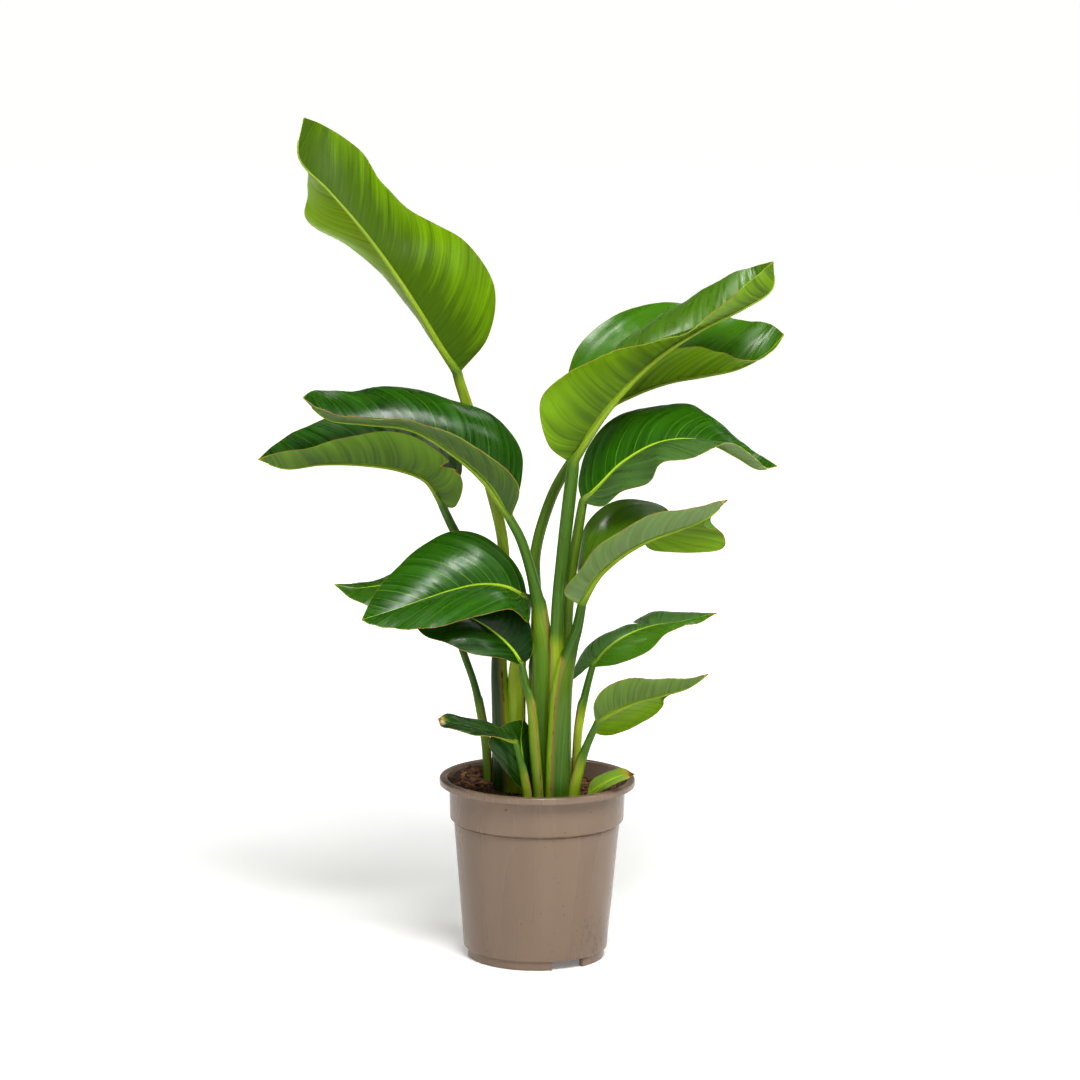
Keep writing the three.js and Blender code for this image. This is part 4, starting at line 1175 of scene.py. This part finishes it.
def makePot():
    p = pot
    parts = [spinProfile(wallProfile(), p["turns"]), makeBase()]
    for i in range(p["gaps"]):
        pitch = 360 / p["gaps"]
        foot = spinProfile(footProfile(), p["turns"] // p["gaps"], pitch - p["gapAngle"])
        start = math.radians(p["gapMiddle"] + p["gapAngle"] / 2 - 90 + pitch * i)
        bmesh.ops.rotate(foot, cent=(0, 0, 0), matrix=Matrix.Rotation(start, 3, "Z"), verts=foot.verts)
        parts.append(foot)
    bm = bmesh.new()
    for part in parts:
        mesh = bpy.data.meshes.new("potPart")
        part.to_mesh(mesh)
        part.free()
        bm.from_mesh(mesh)
        bpy.data.meshes.remove(mesh)
    bm.normal_update()
    for face in bm.faces:
        face.smooth = True
    for edge in bm.edges:
        if len(edge.link_faces) == 2 and edge.calc_face_angle() > p["crease"]:
            edge.smooth = False
    plastic = newMaterial("polypropylene, injection moulded", plasticFace)
    return newPiece("nursery_pot", bm, [plastic], "pot")


makePot()
print("pot made")


# Composted bark with coir: dark brown crumbs, with chips and splinters that catch the light on top.
bark = {
    "topZ": 178.0,
    "radius": 92.0,
    "bandRadius": 91.4,
    "bandZ": 152.0,
    "bodyRadius": 87.2,
    "bodyZ": 148.5,
    "bottomRadius": 75.0,
    "bottomZ": 12.9,
    "levelEdge": 6.0,
    "rings": 34,
    "turns": 120,
    "heap": 15.0,
    "heapTowards": (-0.9, 0.45),
    "heapPower": 1.5,
    "lumpHeight": 2.4,
    "lumpSize": 16.0,
    "lumpLayer": 0.3,
    "crumbHeight": 1.3,
    "crumbSize": 4.0,
    "crumbLayer": 7.1,
    "chips": 1300,
    "crumbShare": 0.65,
    "crumbSizes": ((2.0, 5.0), (1.6, 3.2), (1.2, 2.4)),
    "chipSizes": ((6.0, 15.0), (1.6, 4.5), (1.0, 2.2)),
    "chipEdge": 3.0,
    "chipLift": 0.4,
    "chipTilt": (0.5, 0.4),  # radians
    "cornerShift": 0.18,
    "chipBevel": 0.45,
    "chipSeed": 11,
    "deep": "#120b07",
    "brown": "#322012",
    "chip": "#3c2211",
    "chipPale": "#7c5534",
}


def barkFace(deep, pale, patchSize):
    def surface(tree):
        where = addNode(tree, "TexCoord", out="Object")
        patches = addNode(tree, "TexNoise", {"Vector": where, "Scale": 1 / (patchSize * mm), "Detail": 4.0})
        share = addNode(tree, "MapRange", {"Value": patches, "From Min": 0.35, "From Max": 0.65})
        colour = addNode(tree, "Mix", {0: share, 6: linear(deep), 7: linear(pale)}, out=2, data_type="RGBA")
        # fibres along the chips, half a millimetre apart
        fibrePlace = addNode(tree, "Mapping", {"Vector": where, "Scale": (2000.0, 900.0, 1600.0)})
        fibres = addNode(tree, "TexNoise", {"Vector": fibrePlace, "Scale": 1.0, "Detail": 3.0})
        bump = addNode(tree, "Bump", {"Height": fibres, "Strength": 0.8, "Distance": 0.4 * mm})
        return addNode(tree, "BsdfPrincipled", {"Base Color": colour, "Roughness": 0.9, "Normal": bump})
    return surface


def barkHeight(x, y):
    p = bark
    lumps = noise.noise(Vector((x / p["lumpSize"], y / p["lumpSize"], p["lumpLayer"])))
    crumbs = noise.noise(Vector((x / p["crumbSize"], y / p["crumbSize"], p["crumbLayer"])))
    inside = smoothStep(p["radius"], p["radius"] - p["levelEdge"], math.hypot(x, y))
    lean = max(0.0, p["heapTowards"][0] * x + p["heapTowards"][1] * y) / p["radius"]
    heap = p["heap"] * lean ** p["heapPower"]
    return p["topZ"] + heap + (lumps * p["lumpHeight"] + crumbs * p["crumbHeight"]) * inside


def makeBark():
    p = bark
    profile = [(p["radius"] * i / p["rings"], p["topZ"]) for i in range(p["rings"] + 1)]
    profile += [(p["bandRadius"], p["bandZ"]), (p["bodyRadius"], p["bodyZ"])]
    profile += [(p["bottomRadius"], p["bottomZ"]), (0, p["bottomZ"])]
    bm = spinProfile(profile, p["turns"])
    for vert in bm.verts:
        if vert.co.z > p["topZ"] - 1:
            vert.co.z = barkHeight(vert.co.x, vert.co.y)
    for face in bm.faces:
        face.smooth = True
    crumbs = newMaterial("composted bark, crumbled", barkFace(p["deep"], p["brown"], 5.0))
    return newPiece("potting_bark", bm, [crumbs], "soil")


def makeChips():
    p = bark
    draw = random.Random(p["chipSeed"])
    feet = [(leaf["stalk"][0].x, leaf["stalk"][0].y, leaf["stalk"][0][3]) for leaf in leaves]
    bm = bmesh.new()
    made = 0
    while made < p["chips"]:
        reach = (p["radius"] - p["chipEdge"]) * math.sqrt(draw.random())
        turn = draw.uniform(0, 2 * math.pi)
        x, y = reach * math.cos(turn), reach * math.sin(turn)
        limits = p["crumbSizes"] if draw.random() < p["crumbShare"] else p["chipSizes"]
        size = Vector([draw.uniform(low, high) for low, high in limits])
        if any(math.hypot(x - fx, y - fy) < r + size.x / 2 for fx, fy, r in feet):
            continue
        rollMost, pitchMost = p["chipTilt"]
        roll = Matrix.Rotation(draw.uniform(-rollMost, rollMost), 4, "X")
        tilt = roll @ Matrix.Rotation(draw.uniform(-pitchMost, pitchMost), 4, "Y")
        spot = Matrix.Translation((x, y, barkHeight(x, y) + size.z * p["chipLift"]))
        turned = spot @ Matrix.Rotation(draw.uniform(0, 2 * math.pi), 4, "Z")
        place = turned @ tilt @ Matrix.Diagonal((*size, 1))
        corners = bmesh.ops.create_cube(bm, size=1, matrix=place)["verts"]
        shift = p["cornerShift"]
        for corner in corners:
            corner.co += Vector([draw.uniform(-shift, shift) * side for side in size])
        made += 1
    bmesh.ops.bevel(bm, geom=bm.edges, offset=p["chipBevel"], segments=1, profile=0.5, affect="EDGES",
                    material=-1)
    chipSkin = newMaterial("bark chips, broken", barkFace(p["chip"], p["chipPale"], 9.0))
    return newPiece("bark_chips", bm, [chipSkin], None)


makeBark()
makeChips()
print("bark made")


# Plain pale floor without an edge in view. A big soft box stands high in front and a weak one low in front, a
# small one high on the left, a tall one on the right and a wide one at the back. The floor glows a little, as
# paper does that is lit brighter than the object on it.
stage = {
    "floor": "#f4f4f2",
    "floorSize": 40.0,
    "glowNear": 0.2,
    "glowFar": 1.05,
    "nearReach": 0.4,
    "farReach": 2.4,
    "sky": "#ffffff",
    "skyLow": 0.6,
    "skyBand": 0.3,
    "skyHigh": 0.04,
    "lights": [
        {"name": "keyBox", "at": (0.5, -1.75, 2.5), "size": (1.2, 1.0), "watts": 85},
        {"name": "frontBox", "at": (-0.4, -2.3, 1.2), "size": (1.4, 1.0), "watts": 9},
        {"name": "leftBox", "at": (-1.4, 0.4, 2.5), "size": (0.6, 0.6), "watts": 24},
        {"name": "rightBox", "at": (1.8, -0.5, 1.7), "size": (0.6, 1.3), "watts": 17},
        {"name": "backBox", "at": (0.7, 1.4, 2.2), "size": (1.2, 0.6), "watts": 7},
    ],
    "lightAim": (0, 0, 0.45),
    "gamma": 0.88,
    "distance": 5.0,
    "pitch": 9.88,
    "roll": 0.666,
    "aimZ": 0.4536,
    "focalPixels": 4694.6,
    "framePixels": 1080,
    "sensor": 36.0,
    "clipEnd": 100.0,
}


def floorFace(tree):
    where = addNode(tree, "TexCoord", out="Object")
    reach = addNode(tree, "VectorMath", {0: where}, out="Value", operation="LENGTH")
    glow = addNode(tree, "MapRange", {
        "Value": reach,
        "From Min": stage["nearReach"],
        "From Max": stage["farReach"],
        "To Min": stage["glowNear"],
        "To Max": stage["glowFar"],
    })
    return addNode(tree, "BsdfPrincipled", {
        "Base Color": linear(stage["floor"]),
        "Roughness": 0.8,
        "Specular IOR Level": 0.1,
        "Emission Color": linear(stage["floor"]),
        "Emission Strength": glow,
    })


def makeFloor():
    bm = bmesh.new()
    bmesh.ops.create_grid(bm, x_segments=2, y_segments=2, size=stage["floorSize"])
    mesh = bpy.data.meshes.new("paleFloor")
    bm.to_mesh(mesh)
    bm.free()
    mesh.materials.append(newMaterial("pale paper floor", floorFace))
    floor = bpy.data.objects.new("paleFloor", mesh)
    studio.objects.link(floor)


def makeLights():
    for spec in stage["lights"]:
        lamp = bpy.data.lights.new(spec["name"], "AREA")
        lamp.shape = "RECTANGLE"
        lamp.size, lamp.size_y = spec["size"]
        lamp.energy = spec["watts"]
        made = bpy.data.objects.new(spec["name"], lamp)
        made.location = spec["at"]
        made.rotation_euler = (Vector(stage["lightAim"]) - made.location).to_track_quat("-Z", "Y").to_euler()
        studio.objects.link(made)
    world = bpy.data.worlds.new("studio")
    world.use_nodes = True
    tree = world.node_tree
    # the studio is bright near the floor and dim overhead
    towards = addNode(tree, "TexCoord", out="Generated")
    height = addNode(tree, "SeparateXYZ", {0: towards}, out=2)
    glow = addNode(tree, "MapRange", {"Value": height, "From Min": 0.0, "From Max": stage["skyBand"],
                                      "To Min": stage["skyLow"], "To Max": stage["skyHigh"]})
    background = tree.nodes["Background"]
    background.inputs["Color"].default_value = linear(stage["sky"])
    tree.links.new(glow, background.inputs["Strength"])
    bpy.context.scene.world = world
    bpy.context.scene.view_settings.view_transform = "Standard"
    bpy.context.scene.view_settings.gamma = stage["gamma"]


def makeCamera():
    s = stage
    pitch = math.radians(s["pitch"])
    lens = bpy.data.cameras.new("camera")
    lens.sensor_width = s["sensor"]
    lens.lens = s["focalPixels"] / s["framePixels"] * s["sensor"]
    lens.clip_end = s["clipEnd"]
    camera = bpy.data.objects.new("camera", lens)
    back = Vector((0, -math.cos(pitch), math.sin(pitch))) * s["distance"]
    turn = Matrix.Rotation(math.pi / 2 - pitch, 4, "X") @ Matrix.Rotation(math.radians(s["roll"]), 4, "Z")
    camera.matrix_world = Matrix.Translation(Vector((0, 0, s["aimZ"])) + back) @ turn
    studio.objects.link(camera)
    bpy.context.scene.camera = camera


makeFloor()
makeLights()
makeCamera()
print("stage set")
